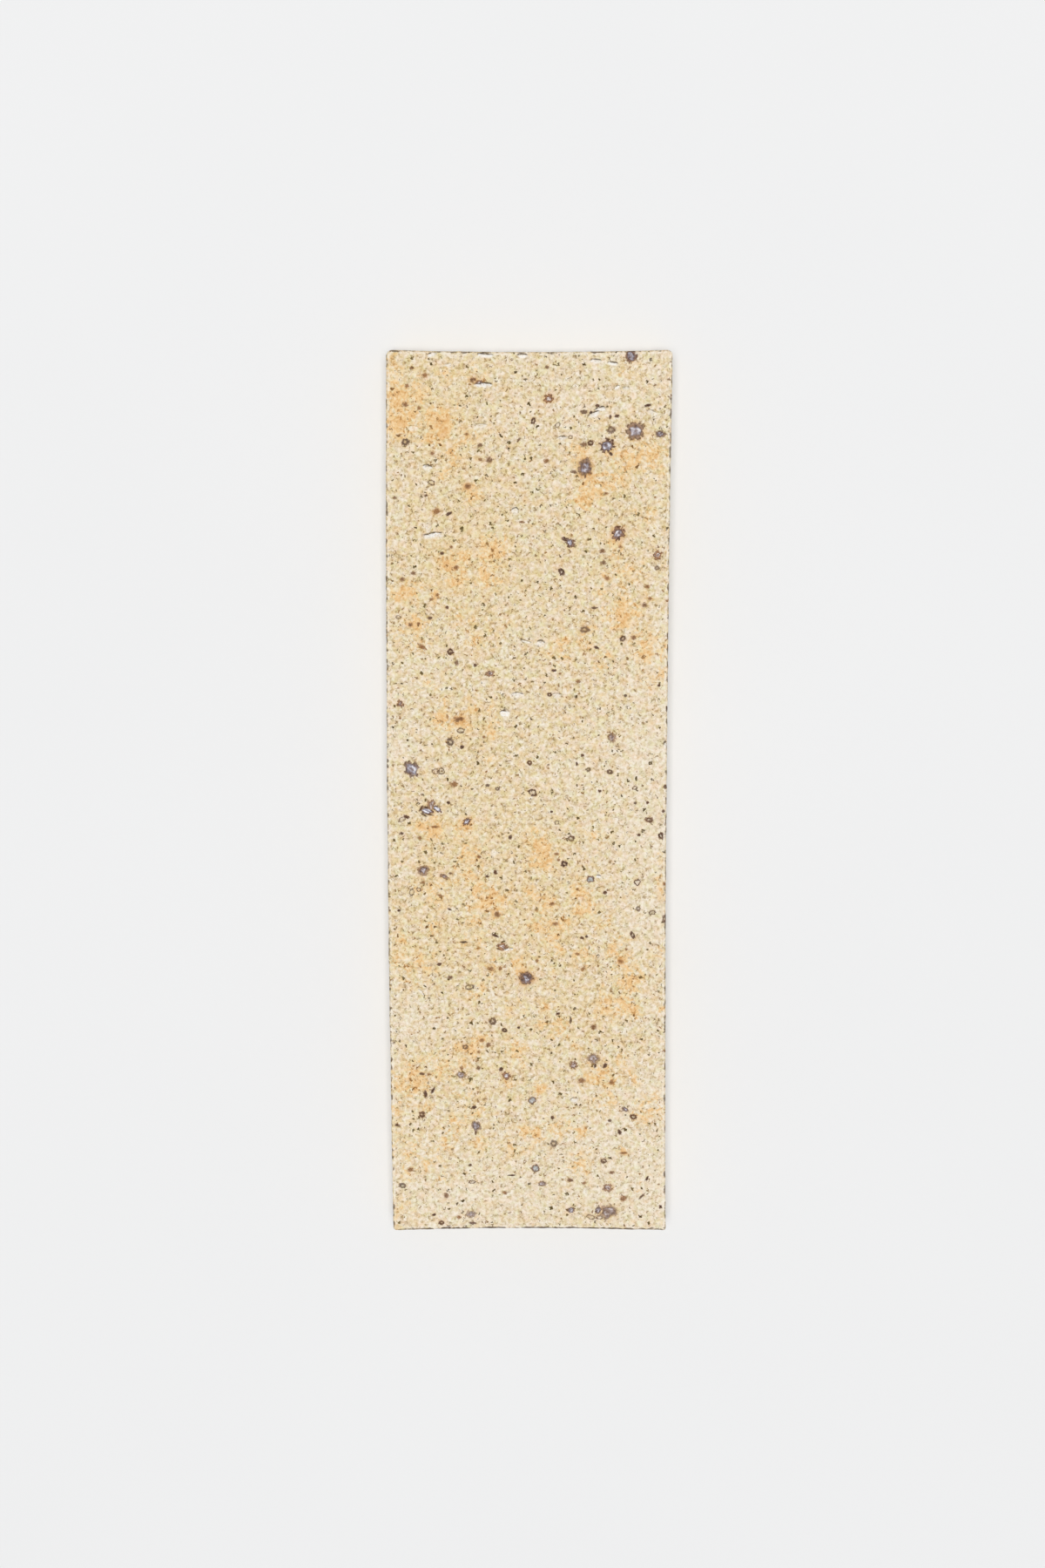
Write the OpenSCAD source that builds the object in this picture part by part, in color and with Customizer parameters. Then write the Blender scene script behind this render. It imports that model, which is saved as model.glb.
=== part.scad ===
// Thin brick tile: one flat slab of buff stoneware clay, pressed and fired in one piece.
// It lies on its back (bond) face with the show face up.
// X runs across the tile, Y along its length and Z through its thickness.
// The origin is the centre of the back face. All sizes are in millimetres.

/* [Face] */
// Length of the show face, end to end
tile_length = 203.2; // [150:0.1:300]
// Width of the show face, bed edge to bed edge
tile_width = 63.5; // [45:0.1:100]
// Radius of the four corners, seen square on to the show face
corner_radius = 1.2; // [0.8:0.1:4]

/* [Body] */
// Thickness from the back face to the show face
tile_thickness = 12.7; // [8:0.1:25]
// Rounding of the arris around the show face
front_arris = 0.6; // [0.2:0.1:2]
// Rounding of the arris around the back face
back_arris = 0.4; // [0.2:0.1:2]

/* [Hidden] */
$fn = 64;
// Centres of the corner curves, from the middle of the tile
corner_x = tile_width / 2 - corner_radius;
corner_y = tile_length / 2 - corner_radius;
// An arris turns with the corner curve, so it can't be rounder than the corner
front_round = min(front_arris, corner_radius);
back_round = min(back_arris, corner_radius);
// How far a cutter runs past the face that it cuts
overrun = 1;

// What a rounding of the given radius takes off a square corner at the origin, pointing to +X and +Y
module corner_waste(radius) {
    translate([-radius, -radius])
        difference() {
            square(radius + overrun);
            circle(radius);
        }
}

// Half of the slab's section, from its middle out to an edge face that is reach away
module half_section(reach) {
    difference() {
        square([reach, tile_thickness]);
        translate([reach, tile_thickness]) corner_waste(front_round);
        translate([reach, 0]) mirror([0, 1]) corner_waste(back_round);
    }
}

// The whole section, with both of its edges rounded
module full_section(reach) {
    union() {
        half_section(reach);
        mirror([1, 0]) half_section(reach);
    }
}

// The straight run of the slab between two pairs of corners: run is its length, reach its half width
module straight_run(run, reach) {
    rotate([90, 0, 0])
        linear_extrude(height = run, center = true)
            full_section(reach);
}

// One rounded corner, as the disc whose quarter shows
module corner_disc() {
    rotate_extrude() half_section(corner_radius);
}

module brick_tile() {
    color([0.87, 0.80, 0.63])
        union() {
            straight_run(2 * corner_y, tile_width / 2);
            rotate([0, 0, 90]) straight_run(2 * corner_x, tile_length / 2);
            for (side = [-1, 1], end = [-1, 1])
                translate([side * corner_x, end * corner_y, 0]) corner_disc();
        }
}

brick_tile();
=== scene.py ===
"""Dress the thin brick tile: one slab of buff stoneware with iron spots, ochre flashing and small tears.

The tile lies on its bond face, show face up. X runs across it, Y along it and Z through it, in metres.
Places and sizes of the marks in the clay are written in millimetres from the middle of the show face.
"""

import logging
import math
from dataclasses import dataclass
from enum import Enum
from typing import Iterator, Optional, Sequence, Union

import bpy
import numpy as np
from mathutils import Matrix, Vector


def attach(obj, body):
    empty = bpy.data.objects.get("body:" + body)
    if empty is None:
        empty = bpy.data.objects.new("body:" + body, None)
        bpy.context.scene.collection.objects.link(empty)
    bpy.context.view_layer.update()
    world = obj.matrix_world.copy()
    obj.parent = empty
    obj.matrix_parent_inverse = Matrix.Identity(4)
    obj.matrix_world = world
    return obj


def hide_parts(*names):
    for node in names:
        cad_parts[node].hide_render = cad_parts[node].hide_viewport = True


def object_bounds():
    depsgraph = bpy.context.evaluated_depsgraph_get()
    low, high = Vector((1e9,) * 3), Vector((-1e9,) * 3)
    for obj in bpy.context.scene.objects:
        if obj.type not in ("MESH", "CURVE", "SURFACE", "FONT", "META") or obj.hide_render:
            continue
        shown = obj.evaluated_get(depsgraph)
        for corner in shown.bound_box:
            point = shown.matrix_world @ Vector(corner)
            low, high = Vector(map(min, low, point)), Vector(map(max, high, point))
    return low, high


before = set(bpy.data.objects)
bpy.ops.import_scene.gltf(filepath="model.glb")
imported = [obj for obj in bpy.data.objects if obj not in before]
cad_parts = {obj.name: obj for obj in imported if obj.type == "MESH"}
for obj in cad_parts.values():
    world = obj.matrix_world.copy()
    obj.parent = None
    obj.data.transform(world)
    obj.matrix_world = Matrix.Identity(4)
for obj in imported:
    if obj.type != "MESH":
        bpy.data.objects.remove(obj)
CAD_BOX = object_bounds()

MM = 0.001
WIDTH, LENGTH, THICKNESS = (round((high - low) / MM, 2) for low, high in zip(*CAD_BOX))
NODE = "brick_tile"
BODY = "root"
SLOT = "fired_clay"
NOWHERE = 9.0
PLAIN = (0.0, 0.0, 0.0)

Key = Union[int, str]
Feed = Union["Wire", float, Sequence[float]]
Feeds = dict[Key, Feed]
Tone = tuple[float, float, float]
Place = tuple[float, float, float]

log = logging.getLogger("brick_tile")


@dataclass(frozen=True)
class SpotDress:
    """What a kind of iron spot looks like, in words and from 0 to 1, and its relief in millimetres."""

    look: str
    spikes: float
    glass: float
    hollow: float
    red: float
    pale: float
    depth_of_tone: float
    # How far a kind lifts the painted highlights and glints in its bowl, on top of the bowl's mottle.
    gleam: float
    rim_height: float
    bowl_depth: float
    red_step: float = 0.618
    red_spread: float = 1.8
    depth_step: float = 0.414
    least_depth: float = 0.86
    depth_spread: float = 0.36

    def tint(self, number: int) -> Tone:
        """Vary the tint from spot to spot.

        Args:
            number: The spot's number.

        Returns:
            How red, how pale and how deep in tone it is.
        """
        red_lot, depth_lot = (number * self.red_step) % 1.0, (number * self.depth_step) % 1.0
        red = self.red * max(0.0, 1.0 - self.red_spread * red_lot * (1.0 - self.red))
        depth = self.depth_of_tone * (self.least_depth + self.depth_spread * depth_lot)
        return red, self.pale, min(1.0, depth)


class SpotKind(Enum):
    """How an iron spot came out of the kiln."""

    # The eighth value lifts the painted highlights and glints in the bowl; a STAR's bright bowl is mostly
    # painted highlight.
    STAR = SpotDress("broad spiked crust round a bright bowl", 0.95, 0.6, 0, 0.1, 0, 1, 0.12, 0.1, 0.26)
    CROWN = SpotDress("spiked crust round a glassy bowl", 0.95, 0.58, 0, 0.3, 0, 1, 0.1, 0.1, 0.26)
    POOL = SpotDress("thin ragged rim round a mottled bowl", 0.9, 0.74, 0, 0, 0, 1, 0.22, 0.08, 0.2)
    GLASS = SpotDress("smooth brown rim round a glassy bowl", 0.35, 0.7, 0, 0.15, 0, 0.84, -0.12, 0.08, 0.2)
    HAZE = SpotDress("soft grey bowl in a faint rim", 0.6, 0.76, 0, 0.25, 0, 0.7, -0.06, 0.05, 0.12)
    SCAB = SpotDress("ragged brown crust broken by pale bits", 0.9, 0.56, 0, 0.7, 0, 0.88, 0.02, 0.08, 0.14)
    SLAG = SpotDress("grey bead in a thin dark line", 0.25, 0.68, 0, 0, 0.95, 1, 0, 0.05, 0.06)
    RING = SpotDress("dark ring round a paler middle", 0.3, 0, 0.36, 0.3, 0, 0.9, 0, 0.07, 0.12)
    CRUST = SpotDress("solid dark crust", 0.45, 0, 0, 0.2, 0, 1, 0, 0.07, 0)
    SMUDGE = SpotDress("soft mottled brown patch", 0.6, 0, 0, 0.7, 0, 0.62, 0, 0.05, 0)
    RUST = SpotDress("red brown bloom", 0.6, 0, 0, 1, 0, 0.55, 0, 0.03, 0)
    SCROLL = SpotDress("thin brown outline", 0.35, 0, 0.66, 0.1, 0, 0.85, 0, 0.02, 0.1)


@dataclass(frozen=True)
class Mark:
    """A mark in the clay: its middle, half length and half width in millimetres, and turn in degrees."""

    x: float
    y: float
    long: float
    wide: float
    turn: float = 0.0

    def measure(self, places: np.ndarray) -> tuple[np.ndarray, np.ndarray]:
        """Measure places from the mark's middle, in its own half lengths and half widths.

        Args:
            places: Places in millimetres.

        Returns:
            How far along and how far across the mark each place lies.
        """
        lean = math.radians(self.turn)
        off_x = places[:, 0] - self.x
        off_y = places[:, 1] - self.y
        along = (off_x * math.cos(lean) + off_y * math.sin(lean)) / self.long
        aside = (-off_x * math.sin(lean) + off_y * math.cos(lean)) / self.wide
        return along, aside


@dataclass(frozen=True)
class IronSpot(Mark):
    """An iron spot, the strength of its halo and how it came out, with the shape of its relief."""

    halo: float = 0.0
    kind: SpotKind = SpotKind.CRUST
    reach: float = 1.4
    rim_at: float = 0.8
    rim_spread: float = 0.28
    widest_rim: float = 1.4
    dome_share: float = 0.8
    bowl_reach: float = 0.75
    halo_reach: float = 1.35

    def relief(self, rho: np.ndarray) -> np.ndarray:
        """Height of the spot's rim and bowl, or of its dome.

        Args:
            rho: How far out on the spot the height is wanted.

        Returns:
            The heights in millimetres.
        """
        dress = self.kind.value
        if not dress.bowl_depth:
            return dress.rim_height * self.dome_share * np.clip(1.0 - rho**2, 0.0, None)
        size = math.sqrt(self.long * self.wide)
        rim = dress.rim_height * min(size, self.widest_rim)
        bowl = dress.bowl_depth * size * np.clip(1.0 - (rho / self.bowl_reach) ** 2, 0.0, None)
        return rim * np.exp(-(((rho - self.rim_at) / self.rim_spread) ** 2)) - bowl


@dataclass(frozen=True)
class Tear(Mark):
    """A short tear in the pressed skin and how white its wall is, in torn clay and painted light, with the
    shape of its relief.
    """

    white: float = 1.0
    reach: float = 1.2
    brow: float = 0.5
    arch: float = 0.45
    foot: float = 1.2
    lip: float = 0.25
    depth: float = 0.42
    full_width: float = 0.6

    def relief(self, u: np.ndarray, v: np.ndarray) -> np.ndarray:
        """Height of the torn skin.

        Args:
            u: How far along the tear the height is wanted.
            v: How far across it.

        Returns:
            The heights in millimetres.
        """
        drop = v - (self.brow - self.arch * u**2)
        slope = np.clip(1.0 + drop / self.foot, 0.0, 1.0) * np.clip(1.0 - drop / self.lip, 0.0, 1.0)
        return -self.depth * min(1.0, self.wide / self.full_width) * slope * (1.0 - u**2)


@dataclass(frozen=True)
class Patch:
    """A soft patch of toasted or bleached clay: its middle and radius in millimetres, and strength."""

    x: float
    y: float
    radius: float
    strength: float

    def glow(self, places: np.ndarray, fall_off: float) -> np.ndarray:
        """Strength of the patch at each place, fading outwards as fast as the fall-off says."""
        away = np.hypot(places[:, 0] - self.x, places[:, 1] - self.y) / self.radius
        return self.strength * np.exp(-fall_off * away**2)


SPOT_ROWS = {
    SpotKind.STAR: ((23.7, 83.9, 2.1, 2, 0, 0.3), (17.3, 80.7, 1.75, 1.6, 20, 0.2)),
    SpotKind.CROWN: (
        (20.2, 61.1, 1.65, 1.45, 60, 0.7), (9.4, 59.1, 1.15, 0.95, -40, 0.2),
        (-13.7, -4.5, 1.15, 0.7, 45, 0.9),
    ),
    SpotKind.POOL: (
        (-26.2, 7.7, 1.95, 1.6, 120, 0.1), (-22.7, -2, 1.4, 0.75, -10), (-20.4, -1.6, 1.15, 0.6, -40),
    ),
    SpotKind.GLASS: (
        (12.7, 75.9, 1.8, 1.5, 90, 0.8), (-0.3, -41.1, 1.6, 1.4, 0, 1), (-23.6, -15.8, 1.25, 1.15, 0, 0.5),
        (29.3, 83.3, 1.2, 0.75), (22.5, 100.4, 1.4, 1.25, 80, 0.2),
    ),
    SpotKind.HAZE: (
        (18.4, -97.2, 2.1, 1.7, 10, 0.3), (16, -96.8, 1, 0.8, 70, 0.1), (15.2, -60.2, 1.4, 1.15, -20, 0.3),
        (-12.1, -76.3, 1.3, 1.1, 100, 0.1), (-13.5, -97.9, 1.25, 0.9, 10, 0.2),
        (-15.5, -64, 1.1, 0.85, -15, 0.1), (9.7, -96.9, 0.95, 0.8, 0, 0.3),
        (3.1, -90.4, 0.95, 0.65, 10, 0.2), (22.4, -72.3, 0.85, 0.5, -25),
    ),
    SpotKind.SCAB: (
        (-21.7, -0.6, 1.3, 0.85, 80, 0.3), (-5.7, -33.7, 1.4, 0.8), (-5, -64.2, 1, 0.95, 0, 0.5),
        (10.5, -61.7, 1, 0.95, 15), (4.4, 91.2, 1.15, 1, 0, 0.6), (18.3, -91.3, 1.1, 1, 0, 0.3),
        (-28.6, 22.6, 0.9, 0.85, 60, 0.3), (19.2, 14.9, 1.3, 0.9, 110, 0.1), (-8.3, 29.5, 1, 0.75, 0, 0.3),
        (29.1, 56.3, 1.15, 0.95, 70, 0.3), (-18.9, -17.2, 1, 0.65, -20, 0.4), (-11, 94.7, 1, 0.6, 15, 0.2),
    ),
    SpotKind.SLAG: ((0.9, -70.2, 0.95, 0.85, 45), (1.5, -86.6, 0.95, 0.85), (14.5, -17.9, 0.85, 0.78)),
    SpotKind.RING: (
        (-17.4, 13.9, 0.95, 0.8, 90, 0.1), (-17.3, 34.5, 0.75, 0.72, 0, 0.1),
        (12.9, 39.5, 1.05, 0.8, 0, 0.2), (21.5, 37.5, 0.75, 0.6, 20, 0.3), (13.8, 81.3, 0.75, 0.6, 20),
        (-27.4, 81.5, 0.9, 0.75, 0, 0.2), (1, 86.2, 0.75, 0.5, 75, 0.1), (18.3, 84.2, 0.95, 0.75, 0, 0.1),
        (7.6, 52.5, 0.9, 0.6, 120), (29, 53.4, 0.6, 0.5), (27.8, -4.1, 1, 0.62), (30.5, -7.8, 0.8, 0.65, 90),
        (10.1, -8.4, 0.8, 0.68), (8.5, -14.3, 0.75, 0.7, 60, 0.2), (25.4, -24.8, 0.55, 0.55),
        (31.4, -27.1, 0.9, 0.5, 90), (24.1, -30.9, 0.9, 0.5, 115, 0.1), (-8, -51.3, 0.9, 0.75, 60, 0.2),
        (-5.3, -53.4, 0.6, 0.55, 0, 0.1), (-14.4, -57.4, 0.65, 0.55, 0, 0.5),
        (-24.6, -73.5, 0.8, 0.72, 90, 0.4), (5.8, -80.6, 0.85, 0.8, 0, 0.1), (17.4, -84.7, 0.7, 0.6, 0, 0.2),
        (24.3, -74.1, 0.8, 0.65, -20), (-29.4, -90.7, 0.85, 0.6, -10), (-20.5, -99.9, 0.7, 0.5, 10),
        (13.9, 7.5, 0.55, 0.5), (18.8, 7, 0.72, 0.5, -20), (0.6, 9.1, 0.6, 0.55), (-6.7, 3.1, 0.5, 0.4),
        (5.1, 24.7, 0.55, 0.5),
    ),
    SpotKind.CRUST: (
        (12.3, 88.2, 0.85, 0.5), (26.4, 89.6, 0.8, 0.35, 10), (15.2, 89.6, 0.5, 0.35),
        (13.8, 88.1, 0.4, 0.35), (19.6, 87.3, 0.6, 0.35), (18.1, 87.1, 0.5, 0.3, 90),
        (8.3, 59.8, 0.9, 0.55, -30, 0.2), (15, 44.4, 0.75, 0.3), (6.1, 30.2, 0.6, 0.35),
        (15.6, 35.4, 0.7, 0.3, -20, 0.1), (-11.7, 31.4, 0.42, 0.38), (-14.7, 12.7, 0.5, 0.45, 0, 0.1),
        (-21.9, 42.1, 0.55, 0.45, 0, 0.4), (-18, 44.5, 0.4, 0.38), (-17.7, 65.5, 0.75, 0.4, 30),
        (-19.2, 56.7, 0.5, 0.4, -20), (-17.8, -0.1, 0.42, 0.38), (-28.5, -7.2, 0.5, 0.35),
        (-24, -1.4, 0.9, 0.28, 60), (-23.4, -2.9, 0.8, 0.25, -30), (-22.8, -1.2, 1.3, 0.22, -8),
        (-22.2, -2.8, 1.1, 0.2, -12), (-3.8, -8.1, 0.55, 0.45, 60), (-27.4, -3.4, 0.8, 0.4, -20),
        (-8.9, 3.9, 0.55, 0.35), (-9.1, -17.2, 0.4, 0.35), (-7.2, -16.3, 0.65, 0.4, 110),
        (-17.7, -24.9, 0.55, 0.25, -30), (-29.3, -25.2, 0.4, 0.3), (-14.5, -32.6, 1.05, 0.3, 0, 0.1),
        (-7.3, -31.1, 0.9, 0.3, -20), (-20.2, -37.8, 0.6, 0.35, 15), (-2.1, -52.8, 0.38, 0.33),
        (-6.2, -62.7, 0.6, 0.45, 60), (-24.5, -63.8, 0.65, 0.35, -10, 0.3), (-12.5, -71.8, 0.65, 0.4),
        (-30.4, -76.1, 0.65, 0.4, -10), (-22, -67.8, 0.8, 0.35, 60), (-23.7, -68.6, 0.95, 0.45, 100, 0.2),
        (-13.6, -85.8, 0.42, 0.35), (-4, -88.3, 1.05, 0.2, 2), (-13.2, -100.1, 0.85, 0.5),
        (-18.8, -101, 0.7, 0.4), (-22.2, -97.9, 0.55, 0.3, 20), (5.6, -74.3, 0.5, 0.5),
        (21.1, -77.8, 0.75, 0.4, 110), (18.8, -75, 0.5, 0.35, 15), (17.8, -21, 0.5, 0.4),
        (24.6, -0.2, 0.4, 0.35), (27.4, -0.1, 0.4, 0.35), (5.6, -2.2, 0.35, 0.3), (31, -2.1, 0.42, 0.4),
        (25.5, -7.6, 0.38, 0.35), (9.9, -51, 0.9, 0.3, 90), (7, -49.5, 0.5, 0.3),
        (12.5, -31.6, 0.5, 0.35, -10), (13.6, -31.3, 0.35, 0.3), (29.8, 26.8, 0.38, 0.35),
        (22.2, 24.5, 0.4, 0.35), (16.5, 2.6, 0.4, 0.35), (12.6, 10.8, 0.42, 0.35),
        (11.3, 8.8, 0.5, 0.25, 90), (31.6, 3.6, 0.6, 0.5, 0, 0.3), (31.6, 21.7, 0.5, 0.3, 90),
        (27.4, -89, 0.7, 0.3, 60), (26.2, -93.3, 0.9, 0.3, 45), (30.5, -95.8, 0.5, 0.35, 90),
        (17.8, -61.8, 0.75, 0.4, 60, 0.1), (-12.2, -77.9, 0.65, 0.25, 85), (15.5, -61.9, 0.6, 0.3, 80),
        (12.7, 73.9, 0.5, 0.2, 90), (18.3, 78.9, 0.6, 0.35, -50, 0.2),
    ),
    SpotKind.SMUDGE: (
        (-8.7, 77.5, 0.8, 0.75, 0, 0.3), (-13.5, 71.7, 0.75, 0.7, 0, 0.9), (-12.5, 95.4, 0.8, 0.65, 0, 0.7),
        (12.3, 81, 0.85, 0.65, 0, 0.1), (10.2, 74.9, 0.75, 0.5, -10), (3.9, 98.2, 0.55, 0.45),
        (16.7, 57.2, 0.7, 0.6, 20), (17, 54.6, 0.75, 0.5, 0, 0.1), (26.3, 45, 0.65, 0.55, 0, 0.3),
        (23.9, 37.7, 0.65, 0.55, 0, 0.5), (-15.9, 32, 0.7, 0.55, 90), (-15.4, 19.1, 1.4, 0.6, 5, 0.6),
        (-26.3, 40.6, 0.6, 0.5, 0, 0.6), (-10.8, 80.8, 0.7, 0.5, 20), (-26.1, 97.8, 0.5, 0.35, 0, 0.1),
        (-22.8, 69.6, 0.5, 0.35), (-29.8, 69.1, 0.45, 0.4), (-1.3, 63.7, 0.65, 0.3),
        (-25.6, 52.2, 0.6, 0.45, 0, 0.1), (-28.1, 50.8, 0.65, 0.55, 0, 0.2), (-2.2, 82, 0.7, 0.3, 50),
        (-17.4, -16.5, 0.5, 0.35, 10, 0.1), (-6.9, -26.1, 0.8, 0.75, 0, 0.6), (-17.7, -40.9, 0.7, 0.5, 20),
        (-9.1, -56.9, 0.7, 0.55, 20, 0.3), (-11.4, -62.4, 0.65, 0.55, 0, 0.1),
        (-19.3, -93.2, 0.8, 0.6, 100, 0.1), (15.2, -52.7, 0.8, 0.7, 0, 0.2), (9.6, -89.5, 0.8, 0.55, 0, 0.2),
        (19.2, -87.6, 0.7, 0.45, 0, 0.1),
    ),
    SpotKind.RUST: (
        (-20.4, 66.1, 1.1, 0.7, 20, 0.4), (-23.1, 96.2, 0.6, 0.55, 0, 0.5), (-27.4, 89.8, 0.75, 0.6, 0, 0.3),
        (-24.4, 89, 0.5, 0.45, 0, 0.2), (-27.1, 93.8, 0.5, 0.5, 0, 0.3), (-21.4, 79, 0.65, 0.5, 0, 0.2),
        (-16, 53.5, 0.7, 0.55, 0, 0.3), (-17.1, 58.1, 0.4, 0.35), (-10.7, 77.6, 0.45, 0.4, 0, 0.3),
        (-13.8, 83.3, 0.4, 0.35, 0, 0.4), (3.9, 77.3, 0.7, 0.5, 30), (17.9, 51.1, 0.6, 0.5, -20, 0.8),
        (20.7, 58.2, 0.5, 0.4, 0, 0.4), (26.9, 49.2, 0.65, 0.5, 0, 0.2), (27.5, 46.5, 0.5, 0.4, 0, 0.3),
        (17.4, 70.1, 0.55, 0.3, 0, 0.2), (11.5, 27.7, 0.65, 0.5, 0, 0.1), (7.4, 29.5, 0.4, 0.35),
        (-16.6, 4.1, 1.05, 0.75, -10, 0.2), (-9.7, 15, 0.4, 0.35, 0, 0.2), (-21.6, 46.3, 0.7, 0.4, 30, 0.1),
        (-20.2, 47.3, 0.5, 0.4, 60, 0.2), (-23.5, 35.5, 1.1, 0.5, -35), (-24.4, 40.8, 0.4, 0.4, 0, 0.2),
        (-20.9, -5.7, 1, 0.3, 0, 0.5), (-24.4, -8.3, 0.55, 0.45, 90), (-10.9, -12.7, 0.55, 0.4),
        (-23.7, -18.6, 0.55, 0.35), (-19.8, -21.7, 0.8, 0.3, -20, 0.2), (-8.4, -38.9, 0.95, 0.6, -15, 0.3),
        (-6.2, -38.8, 0.5, 0.5, 0, 0.3), (6.5, -28.3, 0.75, 0.5, 0, 0.1), (5.7, -23.6, 0.65, 0.5, 20, 0.3),
        (6.7, -12, 0.65, 0.35, 0, 0.3), (7.2, -13.4, 0.4, 0.35), (11.5, -35.4, 0.7, 0.4, -25, 0.2),
        (21.4, -37.1, 0.65, 0.6, 0, 1), (2.2, -37, 0.5, 0.4, 30), (22.7, -34.3, 0.4, 0.35, 0, 0.3),
        (12.8, -38.9, 0.5, 0.4, 0, 0.3), (-10.6, -55.8, 0.6, 0.45, 0, 0.4),
        (-11.3, -58.6, 0.4, 0.35, 0, 0.4), (-15.3, -62.5, 0.5, 0.45, 90, 0.4),
        (-22.9, -63.9, 0.5, 0.4, 0, 0.4), (12.4, -65.4, 1, 0.75, 10, 0.2), (21.9, -93.9, 0.9, 0.85),
        (-27.5, -86.8, 0.85, 0.6, 0, 0.1), (-5.6, -92.6, 0.6, 0.5), (-16.4, -98.6, 0.55, 0.5, 0, 0.3),
        (12.8, -90.2, 0.6, 0.4, 20), (31.4, -58.4, 0.5, 0.4, 0, 0.2), (31.4, -19, 0.6, 0.4, 90, 0.3),
        (19.3, -65.9, 0.65, 0.6, 0, 0.2), (22, -82.8, 0.9, 0.35, 0, 0.5), (31.4, 46, 0.4, 0.3, 0, 0.2),
    ),
    SpotKind.SCROLL: (
        (-20.8, 7.1, 0.8, 0.65), (-19.4, 7.2, 0.75, 0.75), (1.3, 2.2, 0.95, 0.8, -30),
        (-26.3, -20.9, 0.85, 0.6, 80), (-24.7, -20.3, 0.55, 0.5), (-28.4, -4, 0.95, 0.5, 25),
        (-13.2, -43.2, 1.05, 0.6, 10), (14.3, -98.6, 1.1, 0.55, -20), (16.3, -98.7, 0.8, 0.45),
        (25.2, -18.6, 0.75, 0.7), (6.8, -4.7, 0.55, 0.5), (28.6, -25.7, 0.85, 0.5, 10),
        (-29, 42.3, 0.65, 0.4), (-21.6, 72.5, 0.85, 0.6, -20), (24.5, 3.3, 0.6, 0.42, 10),
        (-15, 16.5, 0.85, 0.6), (9.3, 82.6, 0.5, 0.4), (-31.2, -56.2, 0.7, 0.45, 0, 0.1),
        (-13.2, -89.9, 0.85, 0.4), (6.4, 85.3, 0.7, 0.5, 40),
    ),
}

TEAR_ROWS = (
    (-21.1, 60.9, 2.8, 0.65, 5), (-22.2, 62.6, 0.8, 1.2, 0, 0.45), (-10, 94.3, 2.2, 0.6),
    (-10.6, 85.3, 1.8, 0.5, 0, 0.6), (-25.6, 84.7, 1.2, 0.6, 0, 0.5), (14.7, 99.6, 1.4, 0.6, 0, 0.8),
    (18.6, 99, 1.5, 0.45, -8, 0.9), (14.6, 87.9, 1.7, 0.55, 25, 0.9), (15.9, 89, 1.3, 0.6, 15),
    (27.4, 88.2, 1.3, 0.5, -15, 0.6), (-2.9, 66.4, 0.9, 0.65, 0, 0.7), (-22.4, 76, 1.1, 0.6, -8, 0.8),
    (7.5, 82.5, 1.4, 0.4, 0, 0.7), (-2, 24.8, 1.6, 0.5, 0, 0.7), (-4.9, 20.7, 1.3, 0.9),
    (6.6, 24.7, 1.3, 0.55, 0, 0.6), (8.4, 25.9, 0.7, 0.9, 0, 0.4), (3, 36.7, 1.1, 0.7, 0, 0.7),
    (-0.3, 36.8, 1.2, 0.3, -15, 0.6), (-9.6, 27.8, 1, 0.8, 0, 0.45), (-7.4, -11.4, 0.8, 1.1, 0, 0.45),
    (-4.2, -34.2, 1.2, 0.35, 10), (10.6, -70, 1, 0.6, 0, 0.8), (16.3, -17.1, 0.7, 0.4, 0, 0.8),
    (-24.4, -44.4, 1.1, 0.3, -50, 0.7), (-21.5, 100.9, 1.2, 0.6), (-10, 101, 2, 0.5), (-1.5, 101, 1.5, 0.5),
    (-18, 98.8, 0.9, 0.45, 0, 0.6), (21.4, 93.5, 0.8, 0.4, 0, 0.6), (19.4, 93.6, 0.8, 0.4, 30, 0.8),
    (31.3, 13.4, 0.5, 0.9, 0, 0.9), (20.2, -4, 0.9, 0.8, 0, 0.45), (12.3, -22.3, 0.8, 0.8, 0, 0.45),
    (13.1, -91.9, 0.8, 1.1, 0, 0.45), (9, -87.5, 1.1, 0.7, 0, 0.4), (-21, -52, 0.8, 0.6, 0, 0.45),
    (-24.2, -52.3, 0.6, 0.6, 0, 0.45), (-3.8, -92, 0.6, 0.5, 0, 0.4), (-20.8, -98, 0.7, 0.5, 0, 0.45),
    (-30, -77, 0.7, 0.6, 0, 0.45),
)

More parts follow.
